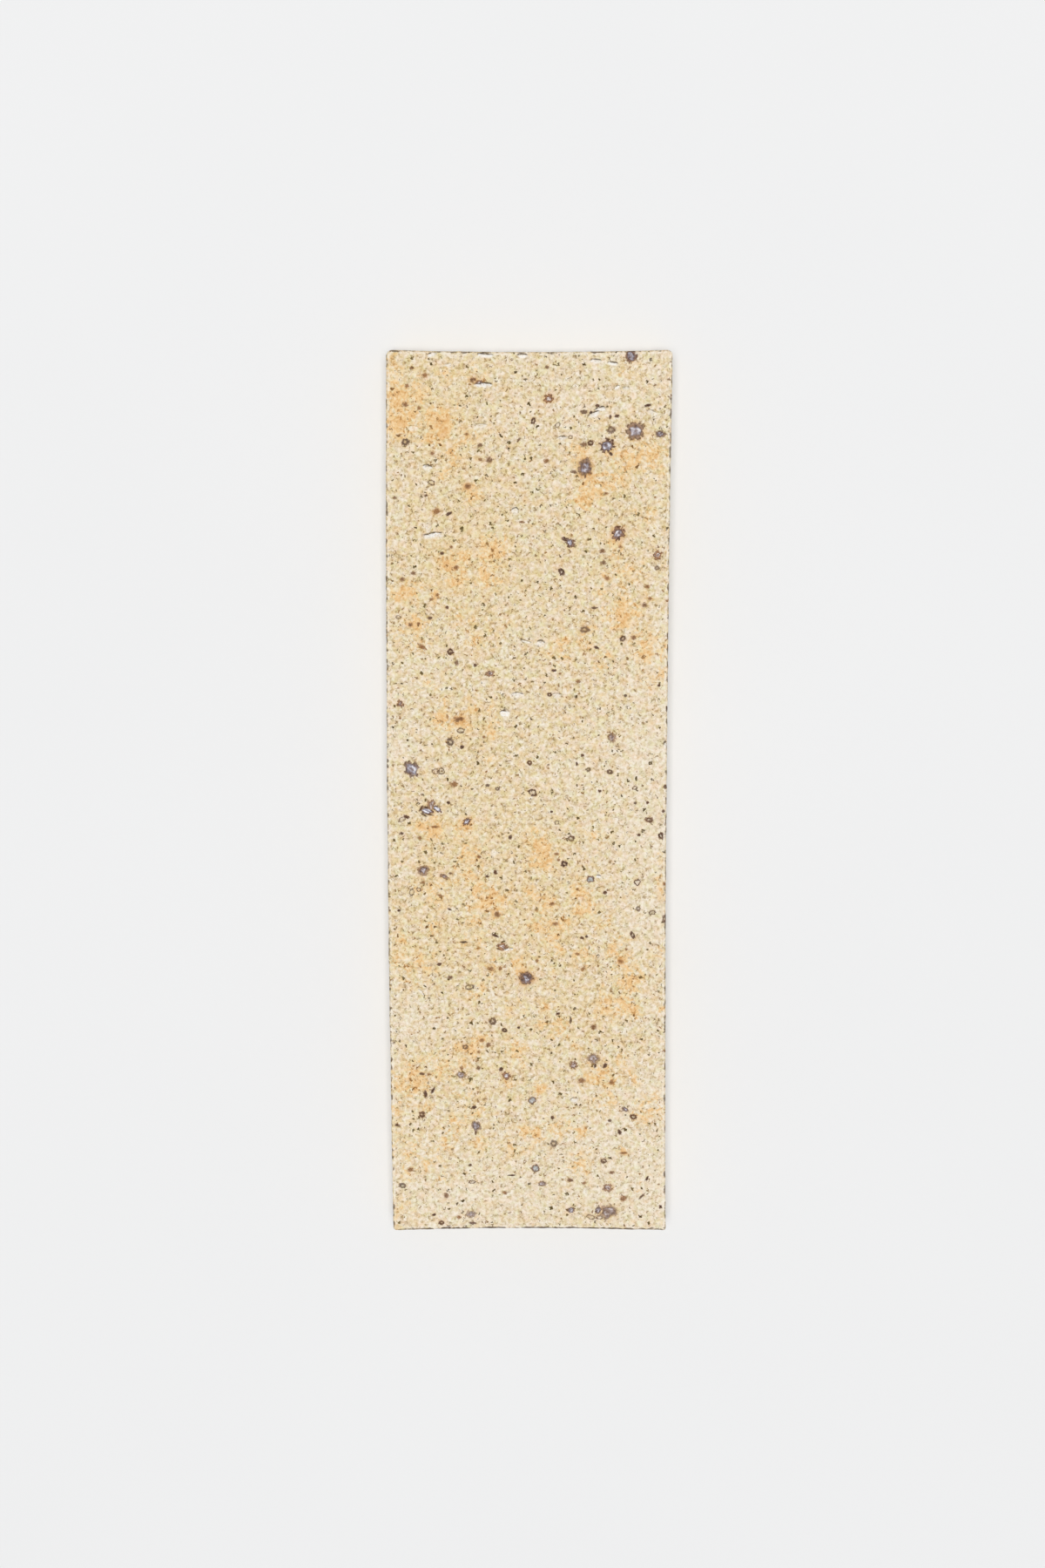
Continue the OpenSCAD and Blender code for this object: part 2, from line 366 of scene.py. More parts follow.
FLASH_ROWS = (
    (-29.5, 98, 2.5, 0.35), (-28.8, 92, 2.8, 0.75), (-28.3, 86.3, 3, 0.9), (-24.5, 93, 2.2, 0.45),
    (-20, 86.3, 2.6, 0.9), (-19.4, 83.6, 2, 1), (-21.6, 82.4, 1.6, 0.8), (-13.5, 82.5, 1.5, 0.5),
    (-17, 78, 2, 0.6), (-12, 96.5, 1.6, 0.5), (-18.5, 96.5, 1.6, 0.35), (-18.5, 74, 1.6, 0.4),
    (-12.5, 70.3, 1.6, 0.5), (-17.5, 54.2, 2.2, 0.9), (-14, 55.5, 1.4, 0.6), (-8, 57.3, 2.6, 0.75),
    (-8.5, 52.5, 2.4, 0.65), (-16, 51.3, 2.2, 0.75), (-24.5, 90, 1.5, 0.6), (-27, 48, 2.2, 0.6),
    (-20.5, 47.4, 1.2, 0.7), (-25.5, 41, 2.2, 0.5), (-23.5, 35.8, 1.2, 0.5), (-12, 37, 1.7, 0.6),
    (-14.5, 43, 2.2, 0.35), (-27, 38, 2.4, 0.3), (-18.5, 22.5, 1.5, 0.4), (-22, 27, 1.6, 0.3),
    (-11, 21.5, 2.2, 0.35), (-19.3, 19.5, 1.4, 1), (-16, 18.4, 2.2, 0.55), (-8.5, 16.5, 2.2, 0.4),
    (-13, 17.7, 1.6, 0.5), (-8, 10.2, 1.2, 0.35), (-9, 50, 1.5, 0.5), (-7.5, 40, 2.5, 0.25),
    (23.5, 78, 3, 0.55), (27, 79, 2.4, 0.7), (28, 76.5, 2.2, 0.5), (21.3, 78.3, 2, 0.7),
    (14.2, 73, 2.4, 0.65), (15.4, 71, 2, 0.6), (11.2, 68.9, 1.6, 0.75), (13, 67.5, 1.8, 0.45),
    (12.4, 78.4, 2, 0.6), (10, 79.5, 1.4, 0.4), (17.5, 71.6, 2.2, 0.45), (19, 73.2, 2.2, 0.35),
    (22.3, 53, 2.5, 0.5), (20.2, 56, 1.6, 0.45), (24.5, 51.5, 1.6, 0.35), (18.6, 59.2, 1.2, 0.5),
    (16.5, 52, 1.2, 0.4), (26, 65, 2.2, 0.3), (22.2, 97, 1.8, 0.35), (22, 43.2, 2.7, 0.75),
    (21, 45.6, 1.6, 0.6), (16.5, 47.5, 1.2, 0.6), (8, 36, 2, 0.55), (12.8, 36.8, 1.7, 0.6),
    (16.5, 32.5, 1.7, 0.4), (26.7, 37, 2.2, 0.6), (26.8, 33.6, 1.7, 0.65), (23, 41, 2, 0.45),
    (19.5, 40, 1.2, 0.6), (27.3, 46.5, 1.2, 0.5), (30, 35, 2, 0.35), (14, 40.3, 1.4, 0.4),
    (28.5, 30, 3, 0.3), (4.2, 33.2, 2, 0.3), (-21, -5.4, 2, 0.75), (-24.5, -5.8, 1.2, 0.7),
    (-22, -7.5, 1.2, 0.5), (-13.6, -6.2, 1.6, 0.7), (-13, -12.5, 2.6, 0.5), (-23, -12.5, 1.6, 0.3),
    (-14, -17.5, 2, 0.55), (-22, -20.5, 2.2, 0.45), (-20.5, -22.5, 1.8, 0.45), (-11.5, -20.8, 1.4, 0.6),
    (-9, -22.6, 2.6, 0.8), (-6.3, -23, 2, 0.6), (-12, -25, 1.4, 0.5), (-12, -28, 1.6, 0.55),
    (-22, -29.5, 1.6, 0.5), (-14, -31.5, 1.6, 0.4), (-11, -32, 1.6, 0.5), (-29, -32, 1.8, 0.45),
    (-24, -37.5, 2.7, 0.5), (-27.5, -39, 1.8, 0.45), (-26.5, -42, 1.2, 0.4), (-8.5, -38.5, 1.7, 0.5),
    (-1.8, -38.2, 1.7, 0.75), (-10.5, -43, 1.2, 0.55), (-12, -45, 1.8, 0.3), (-3, -48.5, 1.6, 0.5),
    (-29, -36, 2.2, 0.4), (1.5, -6.5, 1.3, 0.5), (2.5, -10, 2.2, 0.6), (3, -13, 2.5, 0.8),
    (6.5, -12, 1.6, 0.55), (15.5, -7.5, 1.3, 0.5), (11, -19.5, 1.7, 0.5), (12.5, -21, 2, 0.65),
    (14, -24, 1.7, 0.6), (12, -25.2, 1.5, 0.7), (3.5, -24, 2, 0.5), (6, -22, 1.2, 0.4), (3.5, -28.5, 2, 0.7),
    (8.5, -28, 1.7, 0.55), (17, -27.5, 1.7, 0.45), (6, -32, 2, 0.5), (7.5, -34.5, 1.3, 0.45),
    (13, -35.5, 1.6, 0.55), (20, -34.5, 1.6, 0.6), (21, -32, 1.8, 0.35), (22, -37, 2.2, 0.5),
    (23.5, -41, 2.5, 0.6), (24, -43.5, 1.7, 0.45), (18, -47.5, 2.7, 0.6), (22.5, -47.5, 2.6, 0.6),
    (24, -48.5, 1.5, 0.7), (30.5, -13.5, 1.2, 0.5), (30.8, -20, 1.7, 0.6), (30.8, -35, 1.2, 0.5),
    (29, -35, 1.2, 0.35), (4, -48, 1.6, 0.5), (5.5, -41.5, 2, 0.4), (12.8, -39, 1.2, 0.45),
    (31, -48, 1, 0.6), (1.5, -37.5, 2, 0.35), (0, -21, 2.5, 0.4), (-15.5, -58, 2, 0.5),
    (-12.5, -57.6, 2, 0.65), (-10.5, -55.5, 1.2, 0.6), (-15.6, -60.8, 1.4, 0.6), (-21, -62.5, 2.5, 0.5),
    (-19, -61.5, 1.2, 0.55), (-26, -64.7, 3, 0.7), (-29, -66.3, 2.6, 0.65), (-30.5, -72.5, 2.2, 0.45),
    (-24, -71.4, 1.2, 0.5), (-4.5, -66.3, 1.2, 0.4), (-3, -57.5, 2, 0.4), (-2, -60, 1.7, 0.3),
    (-14, -69, 2.2, 0.3), (-12, -73.5, 1.4, 0.5), (-16.5, -75.4, 1.3, 0.6), (-18.5, -77, 1.7, 0.35),
    (-11.5, -80.5, 1.7, 0.5), (-1, -77.5, 1.2, 0.6), (-29, -81.5, 3, 0.35), (-22.5, -85.5, 1.8, 0.45),
    (-19, -80.5, 1.7, 0.4), (-5, -82, 2, 0.4), (-1, -81.5, 1.6, 0.4), (-27, -87, 2.2, 0.35),
    (-20, -87.5, 2.2, 0.35), (-30, -97.5, 3, 0.3), (8, -52.5, 2, 0.5), (11, -57, 1.4, 0.5),
    (3.5, -51, 1.7, 0.4), (2.8, -67.3, 1.2, 0.9), (15, -64.5, 2.6, 0.5), (18, -66, 2.2, 0.5),
    (19.3, -65.7, 1, 0.6), (16.5, -69.5, 2.2, 0.35), (19.5, -70.5, 1.3, 0.4), (27, -73.5, 2.2, 0.65),
    (30.5, -70, 1.5, 0.5), (8, -77, 2.6, 0.4), (12, -77.8, 1.4, 0.7), (1.8, -78.2, 1.2, 0.6),
    (3.5, -79.3, 1.2, 0.55), (22.3, -82.6, 1, 0.8), (11.5, -85.5, 3.2, 0.35), (14, -86, 1.8, 0.3),
    (24.5, -91, 1.8, 0.2), (21.5, -60, 1.6, 0.3), (24, -64, 2.5, 0.25),
)

BLEACH_ROWS = (
    (29, 12, 9, 0.42), (30, -8, 9, 0.48), (29, -28, 8, 0.42), (30, -48, 7, 0.18), (29, -70, 9, 0.38),
    (28, -92, 12, 0.46), (0, -94, 16, 0.26), (-18, -95, 10, 0.3), (-29, -88, 7, 0.25), (14, -80, 10, 0.22),
    (29, 32, 8, 0.3), (-29, 12, 6, 0.3), (-29, -50, 7, 0.3), (10, 95, 12, 0.15), (28, 96, 8, 0.15),
    (-28, 28, 7, 0.15), (14, 5, 8, 0.2), (-15, 66, 9, -0.3), (-18, 52, 10, -0.3), (-22, 88, 11, -0.3),
    (18, 62, 9, -0.2), (-4, 52, 9, -0.15), (-16, -10, 10, -0.25), (-20, -32, 10, -0.25), (2, -28, 11, -0.25),
    (0, -8, 9, -0.2), (12, -48, 8, -0.15), (-8, -64, 9, -0.15), (-12, 14, 8, -0.2),
)

IRON_SPOTS = tuple(IronSpot(*row, kind=kind) for kind, rows in SPOT_ROWS.items() for row in rows)
TEARS = tuple(Tear(*row) for row in TEAR_ROWS)
FLASHES = tuple(Patch(*row) for row in FLASH_ROWS)
BLEACHES = tuple(Patch(*row) for row in BLEACH_ROWS)


@dataclass(frozen=True)
class TileForm:
    """Sizes of the fired slab and of the mesh it is modelled with, in millimetres."""

    length: float = LENGTH
    width: float = WIDTH
    thickness: float = THICKNESS
    corner_radii: tuple[float, float, float, float] = (0.8, 0.7, 1.2, 1.3)
    front_arris: float = 0.4
    front_turns: tuple[float, ...] = (10.0, 40.0, 65.0, 90.0)
    back_arris: float = 0.4
    back_turns: tuple[float, ...] = (90.0, 45.0, 0.0)
    first_ring: float = 0.2
    flat_margin: float = 1.3
    face_cell: float = 0.5
    back_cell: float = 1.6
    side_rows: int = 8
    finer_marks: tuple[tuple[float, float], ...] = ((0.45, 1.25), (0.85, 1.1))
    skin: float = 0.3
    noted_skin: float = 1.2
    flashed_skin: float = 3.0
    arris_band: float = 0.9
    back_band: float = 1.5
    calm_relief: float = 0.05
    least_calm: float = 0.2
    camber: float = 0.6
    swell: float = 0.15
    end_hollow: float = 0.5
    head_rise: float = 0.22
    end_reach: int = 9

    def flat_size(self) -> tuple[float, float]:
        """Width and length of the flat inside the margin."""
        return self.width - 2.0 * self.flat_margin, self.length - 2.0 * self.flat_margin

    def bow(self, y: np.ndarray) -> np.ndarray:
        """Sideways bow of the slab at each place along it."""
        return self.camber * (0.5 - (1.0 - (2.0 * y / self.length) ** 2))

    def rings(self) -> Iterator[tuple[float, float]]:
        """Go down the edge from the show face to the bond face.

        Yields:
            How far each ring lies in from the sides, and its height.
        """
        front, back = self.front_arris, self.back_arris
        wall_top = self.thickness - front
        yield front + self.first_ring, self.thickness
        for lean in map(math.radians, self.front_turns):
            yield front * (1.0 - math.sin(lean)), self.thickness - front * (1.0 - math.cos(lean))
        for row in range(1, self.side_rows):
            yield 0.0, wall_top - (wall_top - back) * row / self.side_rows
        for lean in map(math.radians, self.back_turns):
            yield back * (1.0 - math.sin(lean)), back * (1.0 - math.cos(lean))

    def rim_distance(self, places: np.ndarray) -> np.ndarray:
        """Distance from the nearest arris.

        Args:
            places: Where it is wanted, in millimetres.

        Returns:
            The distance in millimetres at each place.
        """
        inward = np.minimum(self.width / 2.0 - np.abs(places[:, 0]), self.length / 2.0 - np.abs(places[:, 1]))
        down = np.minimum(self.thickness - places[:, 2], places[:, 2])
        return np.hypot(np.clip(inward, 0.0, None), np.clip(down, 0.0, None))


@dataclass(frozen=True)
class Wire:
    """What a node gives, on which plain signs and short calls work sums."""

    bench: "Bench"
    socket: bpy.types.NodeSocket

    def __add__(self, other: Feed) -> "Wire":
        """Add the other."""
        return self.bench.sum("ADD", self, other)

    def __sub__(self, other: Feed) -> "Wire":
        """Take the other away."""
        return self.bench.sum("SUBTRACT", self, other)

    def __rsub__(self, other: Feed) -> "Wire":
        """Take this away from a plain number."""
        return self.bench.sum("SUBTRACT", other, self)

    def __mul__(self, other: Feed) -> "Wire":
        """Multiply by the other."""
        return self.bench.sum("MULTIPLY", self, other)

    def __truediv__(self, other: Feed) -> "Wire":
        """Divide by the other."""
        return self.bench.sum("DIVIDE", self, other)

    def __abs__(self) -> "Wire":
        """Drop the sign."""
        return self.bench.sum("ABSOLUTE", self)

    def most(self, other: Feed) -> "Wire":
        """Take the larger of the two."""
        return self.bench.sum("MAXIMUM", self, other)

    def least(self, other: Feed) -> "Wire":
        """Take the smaller of the two."""
        return self.bench.sum("MINIMUM", self, other)

    def above(self, limit: Feed) -> "Wire":
        """Say 1 over the limit and 0 under it."""
        return self.bench.sum("GREATER_THAN", self, limit)

    def below(self, limit: Feed) -> "Wire":
        """Say 1 under the limit and 0 over it."""
        return self.bench.sum("LESS_THAN", self, limit)

    def clamped(self) -> "Wire":
        """Keep the sum just worked from 0 to 1."""
        self.socket.node.use_clamp = True
        return self

    def split(self) -> list["Wire"]:
        """Take a vector or a colour apart into its three numbers."""
        kind = "ShaderNodeSeparateColor" if self.socket.type == "RGBA" else "ShaderNodeSeparateXYZ"
        return [Wire(self.bench, socket) for socket in self.bench.add(kind, {0: self}).outputs]

    def rise(self, low: Feed, high: Feed, start: Feed = 0.0, end: Feed = 1.0) -> "Wire":
        """Ease a number from start to end as this one goes from low to high."""
        feeds = dict(enumerate((self, low, high, start, end)))
        return self.bench.wire("ShaderNodeMapRange", 0, feeds, interpolation_type="SMOOTHSTEP")

    def fall(self, low: Feed, high: Feed) -> "Wire":
        """Ease a number from 1 to 0 as this one goes from low to high."""
        return self.rise(low, high, 1.0, 0.0)

    def noise(self, scale: float, detail: float = 2.0, rough: float = 0.5, socket: str = "Fac") -> "Wire":
        """Read clouds at this place: lumps per millimetre, finer layers, their strength and the output."""
        feeds = {"Vector": self, "Scale": scale, "Detail": detail, "Roughness": rough}
        return self.bench.wire("ShaderNodeTexNoise", socket, feeds)

    def wander(self, scale: float, detail: float = 2.0, rough: float = 0.5) -> "Wire":
        """Read a push at this place, up to a half each way."""
        return self.noise(scale, detail, rough, "Color") - (0.5, 0.5, 0.5)


@dataclass(frozen=True)
class Bench:
    """Short typed calls that add and join the nodes of one tree, which stand in a row."""

    tree: bpy.types.NodeTree
    step: float = 200.0

    def add(self, kind: str, feeds: Optional[Feeds] = None, **settings: object) -> bpy.types.Node:
        """Add a node to the right of the last one.

        Args:
            kind: Blender's name for the node.
            feeds: A feed for each input, by its number or name.
            settings: The node's own settings.

        Returns:
            The node.
        """
        node = self.tree.nodes.new(kind)
        node.location.x = self.step * len(self.tree.nodes)
        for name, setting in settings.items():
            setattr(node, name, setting)
        for key, value in (feeds or {}).items():
            self.feed(node.inputs[key], value)
        return node

    def wire(self, kind: str, output: Key, feeds: Optional[Feeds] = None, **settings: object) -> Wire:
        """Add a node and take the output of that number or name."""
        return Wire(self, self.add(kind, feeds, **settings).outputs[output])

    def feed(self, target: bpy.types.NodeSocket, value: Feed) -> None:
        """Join a wire to the target, or set the target's own value.

        Args:
            target: The input.
            value: What feeds it.
        """
        if isinstance(value, Wire):
            self.tree.links.new(value.socket, target)
        elif target.type == "RGBA":
            target.default_value = (*value, 1.0)
        elif target.type == "VECTOR" and not isinstance(value, tuple):
            target.default_value = (value, value, value)
        else:
            target.default_value = value

    def sum(self, operation: str, *values: Feed) -> Wire:
        """Work one sum, on vectors if any value is one and on numbers if not.

        Args:
            operation: Blender's name for the sum.
            values: What it works on.

        Returns:
            The answer.
        """
        kinds = [value.socket.type if isinstance(value, Wire) else type(value).__name__ for value in values]
        plain = not {"VECTOR", "RGBA", "tuple"} & set(kinds)
        kind = "ShaderNodeMath" if plain else "ShaderNodeVectorMath"
        output = "Value" if plain or operation == "LENGTH" else "Vector"
        return self.wire(kind, output, dict(enumerate(values)), operation=operation)

    def blend(self, factor: Feed, below: Feed, above: Feed, way: str = "MIX") -> Wire:
        """Lay the colour above over the one below, as far as the factor says and in the way named."""
        feeds = {0: factor, 6: below, 7: above}
        return self.wire("ShaderNodeMix", 2, feeds, data_type="RGBA", clamp_factor=True, blend_type=way)

    def ramp(self, factor: Feed, tones: Sequence[Tone]) -> Wire:
        """Pick a colour from a row of evenly spaced tones.

        Args:
            factor: Where to read the row, from 0 to 1.
            tones: The tones from first to last.

        Returns:
            The colour.
        """
        node = self.add("ShaderNodeValToRGB", {0: factor})
        stops = node.color_ramp.elements
        while len(stops) < len(tones):
            stops.new(1.0)
        for order, tone in enumerate(tones):
            stops[order].position = order / (len(tones) - 1)
            stops[order].color = (*tone, 1.0)
        return Wire(self, node.outputs["Color"])

    def place(self) -> Wire:
        """Read the place on the piece, in metres."""
        return self.wire("ShaderNodeTexCoord", "Object")

    def read(self, name: str, socket: str = "Fac") -> Wire:
        """Read one of the mesh's own attributes, as a number or as a vector."""
        return self.wire("ShaderNodeAttribute", socket, label=name, attribute_name=name)

    def use(self, group: bpy.types.NodeTree, **feeds: Feed) -> dict[str, Wire]:
        """Place a node group with a feed for each named input, and tell what it gives by name."""
        node = self.add("ShaderNodeGroup", feeds, node_tree=group, label=group.name)
        return {socket.name: Wire(self, socket) for socket in node.outputs}

    def give(self, **feeds: Feed) -> bpy.types.NodeTree:
        """Finish a group.

        Args:
            feeds: A feed for each named output.

        Returns:
            The group's tree.
        """
        for name in feeds:
            self.tree.interface.new_socket(name, in_out="OUTPUT", socket_type="NodeSocketFloat")
        self.add("NodeGroupOutput", feeds)
        return self.tree


def new_group(name: str, vectors: Sequence[str], numbers: Sequence[str] = ()) -> tuple[Bench, list[Wire]]:
    """Start a shader node group.

    Args:
        name: The group's name.
        vectors: Names of the vectors it is given.
        numbers: Names of the numbers it is given.

    Returns:
        The bench to build on, and what the group is given, in that order.
    """
    tree = bpy.data.node_groups.new(name, "ShaderNodeTree")
    for labels, kind in ((vectors, "NodeSocketVector"), (numbers, "NodeSocketFloat")):
        for label in labels:
            tree.interface.new_socket(label, in_out="INPUT", socket_type=kind)
    bench = Bench(tree)
    source = bench.add("NodeGroupInput")
    return bench, [Wire(bench, socket) for socket in source.outputs if socket.name]


def grain_group() -> bpy.types.NodeTree:
    """Build the clay grain: a light to dark grain, fine seams between the grains, and a drift of hue.

    Returns:
        The group's tree.
    """
    bench, (given,) = new_group("clay_grain", ("Place",))
    place = given + given.wander(0.9) * 1.1
    fine = place.noise(1.25, 2.0, 0.60)
    seams = []
    for lumps_per_mm, width, depth in ((0.75, 0.075, 0.36), (1.30, 0.095, 0.32)):
        shifted = place + (7.0 * lumps_per_mm, 3.0, 11.0)
        away = abs(shifted.noise(lumps_per_mm, 1.0) - 0.5)
        broken = shifted.noise(1.1, 1.0).rise(0.42, 0.56)
        seams.append(away.rise(0.2 * width, width, depth, 0.0) * broken)
    sunk = (seams[0] + seams[1]) * given.noise(0.4).rise(0.38, 0.60, 0.35, 1.0)
    return bench.give(
        Tone=(fine.rise(0.32, 0.66, 0.42, 1.0) - sunk).clamped(),
        Chalk=given.noise(0.70, 2.0, 0.55).rise(0.38, 0.60),
        Blush=shifted.noise(0.33, 3.0, 0.6).rise(0.40, 0.62),
        Height=fine * 0.20 - sunk * 0.06,
    )


def speck_group() -> bpy.types.NodeTree:
    """Build a scatter of ragged specks, one at most in each cell.

    Returns:
        The group's tree.
    """
    numbers = ("Density", "Share", "Reach", "Ragged")
    bench, (given, per_mm, share, reach, ragged) = new_group("iron_specks", ("Place",), numbers)
    place = given + given.wander(1.4, 2.0, 0.6) * ragged
    cell = bench.add("ShaderNodeTexVoronoi", {"Vector": place, "Scale": per_mm}, feature="F1").outputs
    red, green, blue = Wire(bench, cell["Color"]).split()
    size = reach * (green * 0.6 + 0.4)
    inside = (Wire(bench, cell["Distance"]) / per_mm).fall(size * 0.7, size)
    return bench.give(Mask=inside * red.below(share), Lot=blue)


def bloom_group() -> bpy.types.NodeTree:
    """Build the iron spots from the coordinates that each face holds for its own spot, with painted
    highlights and glints in their bowls.

    Returns:
        The group's tree.
    """
    bench, (spot, dress, tint, lively) = new_group("iron_bloom", ("Spot", "Dress", "Tint"), ("Lively",))
    spikes, glass, hollow = dress.split()
    red, _, depth_of_tone = tint.split()
    own = spot * (1.0, 1.0, 7.0)
    pushed = (own + own.wander(1.4, 2.0, 0.6) * (spikes * -0.7 + 1.5)) * (1.0, 1.0, 0.0)
    rho = bench.sum("LENGTH", pushed)
    heading = bench.sum("NORMALIZE", pushed) * 2.2
    star = (heading + own * (0.0, 0.0, 1.0)).noise(1.15, 0.0)
    edge = 1.10 - spikes * 0.40 * star.fall(0.34, 0.62)
    solid = (glass + hollow).below(0.05)
    ringed = hollow.above(0.05)
    soft = spikes * -0.17 + 0.25
    crust = rho.fall(edge - (solid * 0.15 + soft), edge + soft)
    emptied = rho.fall(hollow - 0.12, hollow + 0.10) * ringed * (hollow * 1.8).least(0.85)
    mottle = own.noise(2.6, 2.0, 0.6)
    inside = edge - rho
    near_middle = (rho + (mottle * -1.2 + 0.6)).fall(0.50, 1.15)
    dark_rim = inside.fall(0.04, 0.36) * (1.0 - solid)
    shade = near_middle * solid + dark_rim.most(ringed * 0.9)
    pool_edge = glass + (mottle - 0.5) * (red * 1.6 + 0.7)
    pool = rho.fall(pool_edge - 0.16, pool_edge + 0.10)
    # Painted highlights: noise for the bowl's mottle and its painted white glints, and a painted highlight
    # ring about a third of the way out.
    glint = (own + (4.0, 0.0, 0.0)).noise(1.9, 1.0)
    bright_ring = abs(rho - 0.34) * -1.6 + 0.30
    cover = depth_of_tone.most(near_middle * (solid * 0.90))
    return bench.give(
        Crust=crust * (1.0 - emptied) * cover,
        Fringe=inside.fall(-0.10, 0.20),
        Deep=(shade + mottle.rise(0.38, 0.62, -0.50, 0.50)).clamped(),
        Glass=pool * glass.above(0.05) * crust * depth_of_tone,
        # The level of mottle and painted glint that picks the bowl's tone.
        Gleam=(glint * 2.4 - 0.85) + (bright_ring + lively),
        Height=crust * (pool * -0.6 + 1.0) * 0.08,
    )


def tear_group() -> bpy.types.NodeTree:
    """Build the tears: painted shade along the dark lip above, and a white wall below of torn clay with
    painted light on it.

    Returns:
        The group's tree.
    """
    bench, (place, tear) = new_group("skin_tear", ("Place", "Tear"))
    along, aside, white = (tear + place.wander(0.65, 3.0, 0.55) * (1.1, 1.9, 0.0)).split()
    across = abs(along)
    run = across.fall(0.60, 1.05)
    arch = across * across
    height = aside - (arch * -0.45 + 0.5)
    broken = place.noise(0.9, 2.0, 0.6).rise(0.40, 0.54, 0.25, 1.0)
    lifted = broken * white.rise(0.45, 0.75)
    # Painted shade along the lip, where the tear's upper edge falls into shade.
    lip = (arch * 0.4 + height).fall(0.18, 0.62) * height.rise(-0.42, -0.10) * (run * lifted)
    # The wall below: white torn clay with painted light where it turns up to the light.
    wall = (arch * -1.1 + height).rise(-2.5, -0.9) * height.fall(-0.34, 0.1) * run
    worn = place.noise(2.1, 2.0, 0.6).rise(0.36, 0.56, 0.35, 1.0)
    return bench.give(Lip=lip, Wall=wall * worn * white, Height=(lip + wall) * -0.08)


def arris_group() -> bpy.types.NodeTree:
    """Build the broken brown line along the arris, which runs on as a continuous painted shadow line along
    the foot end, and a painted highlight line just inside the arris.

    Returns:
        The group's tree.
    """
    bench, (place, rim) = new_group("arris_scorch", ("Place",), ("Rim",))
    across, along, _ = place.split()
    # Along the foot end the dark line is made continuous: painted contact shadow.
    foot = along.fall(-100.8, -100.2)
    broken = place.noise(0.55, 3.0, 0.65).rise(0.40, 0.54)
    dashes = (broken * 0.85).most(foot * abs(across).rise(22.0, 29.0, 1.0, 0.35))
    reach = (foot * 0.18 + 0.34) + (place.noise(0.75, 1.0) * 1.3 - 0.65)
    # A broken painted highlight line a little in from the arris.
    rubs = place.noise(0.8, 2.0, 0.6).rise(0.46, 0.58)
    band = rim.rise(0.20, 0.45) * rim.fall(0.55, 0.95)
    return bench.give(Scorch=rim.fall(reach - 0.20, reach) * dashes, Rub=band * rubs)


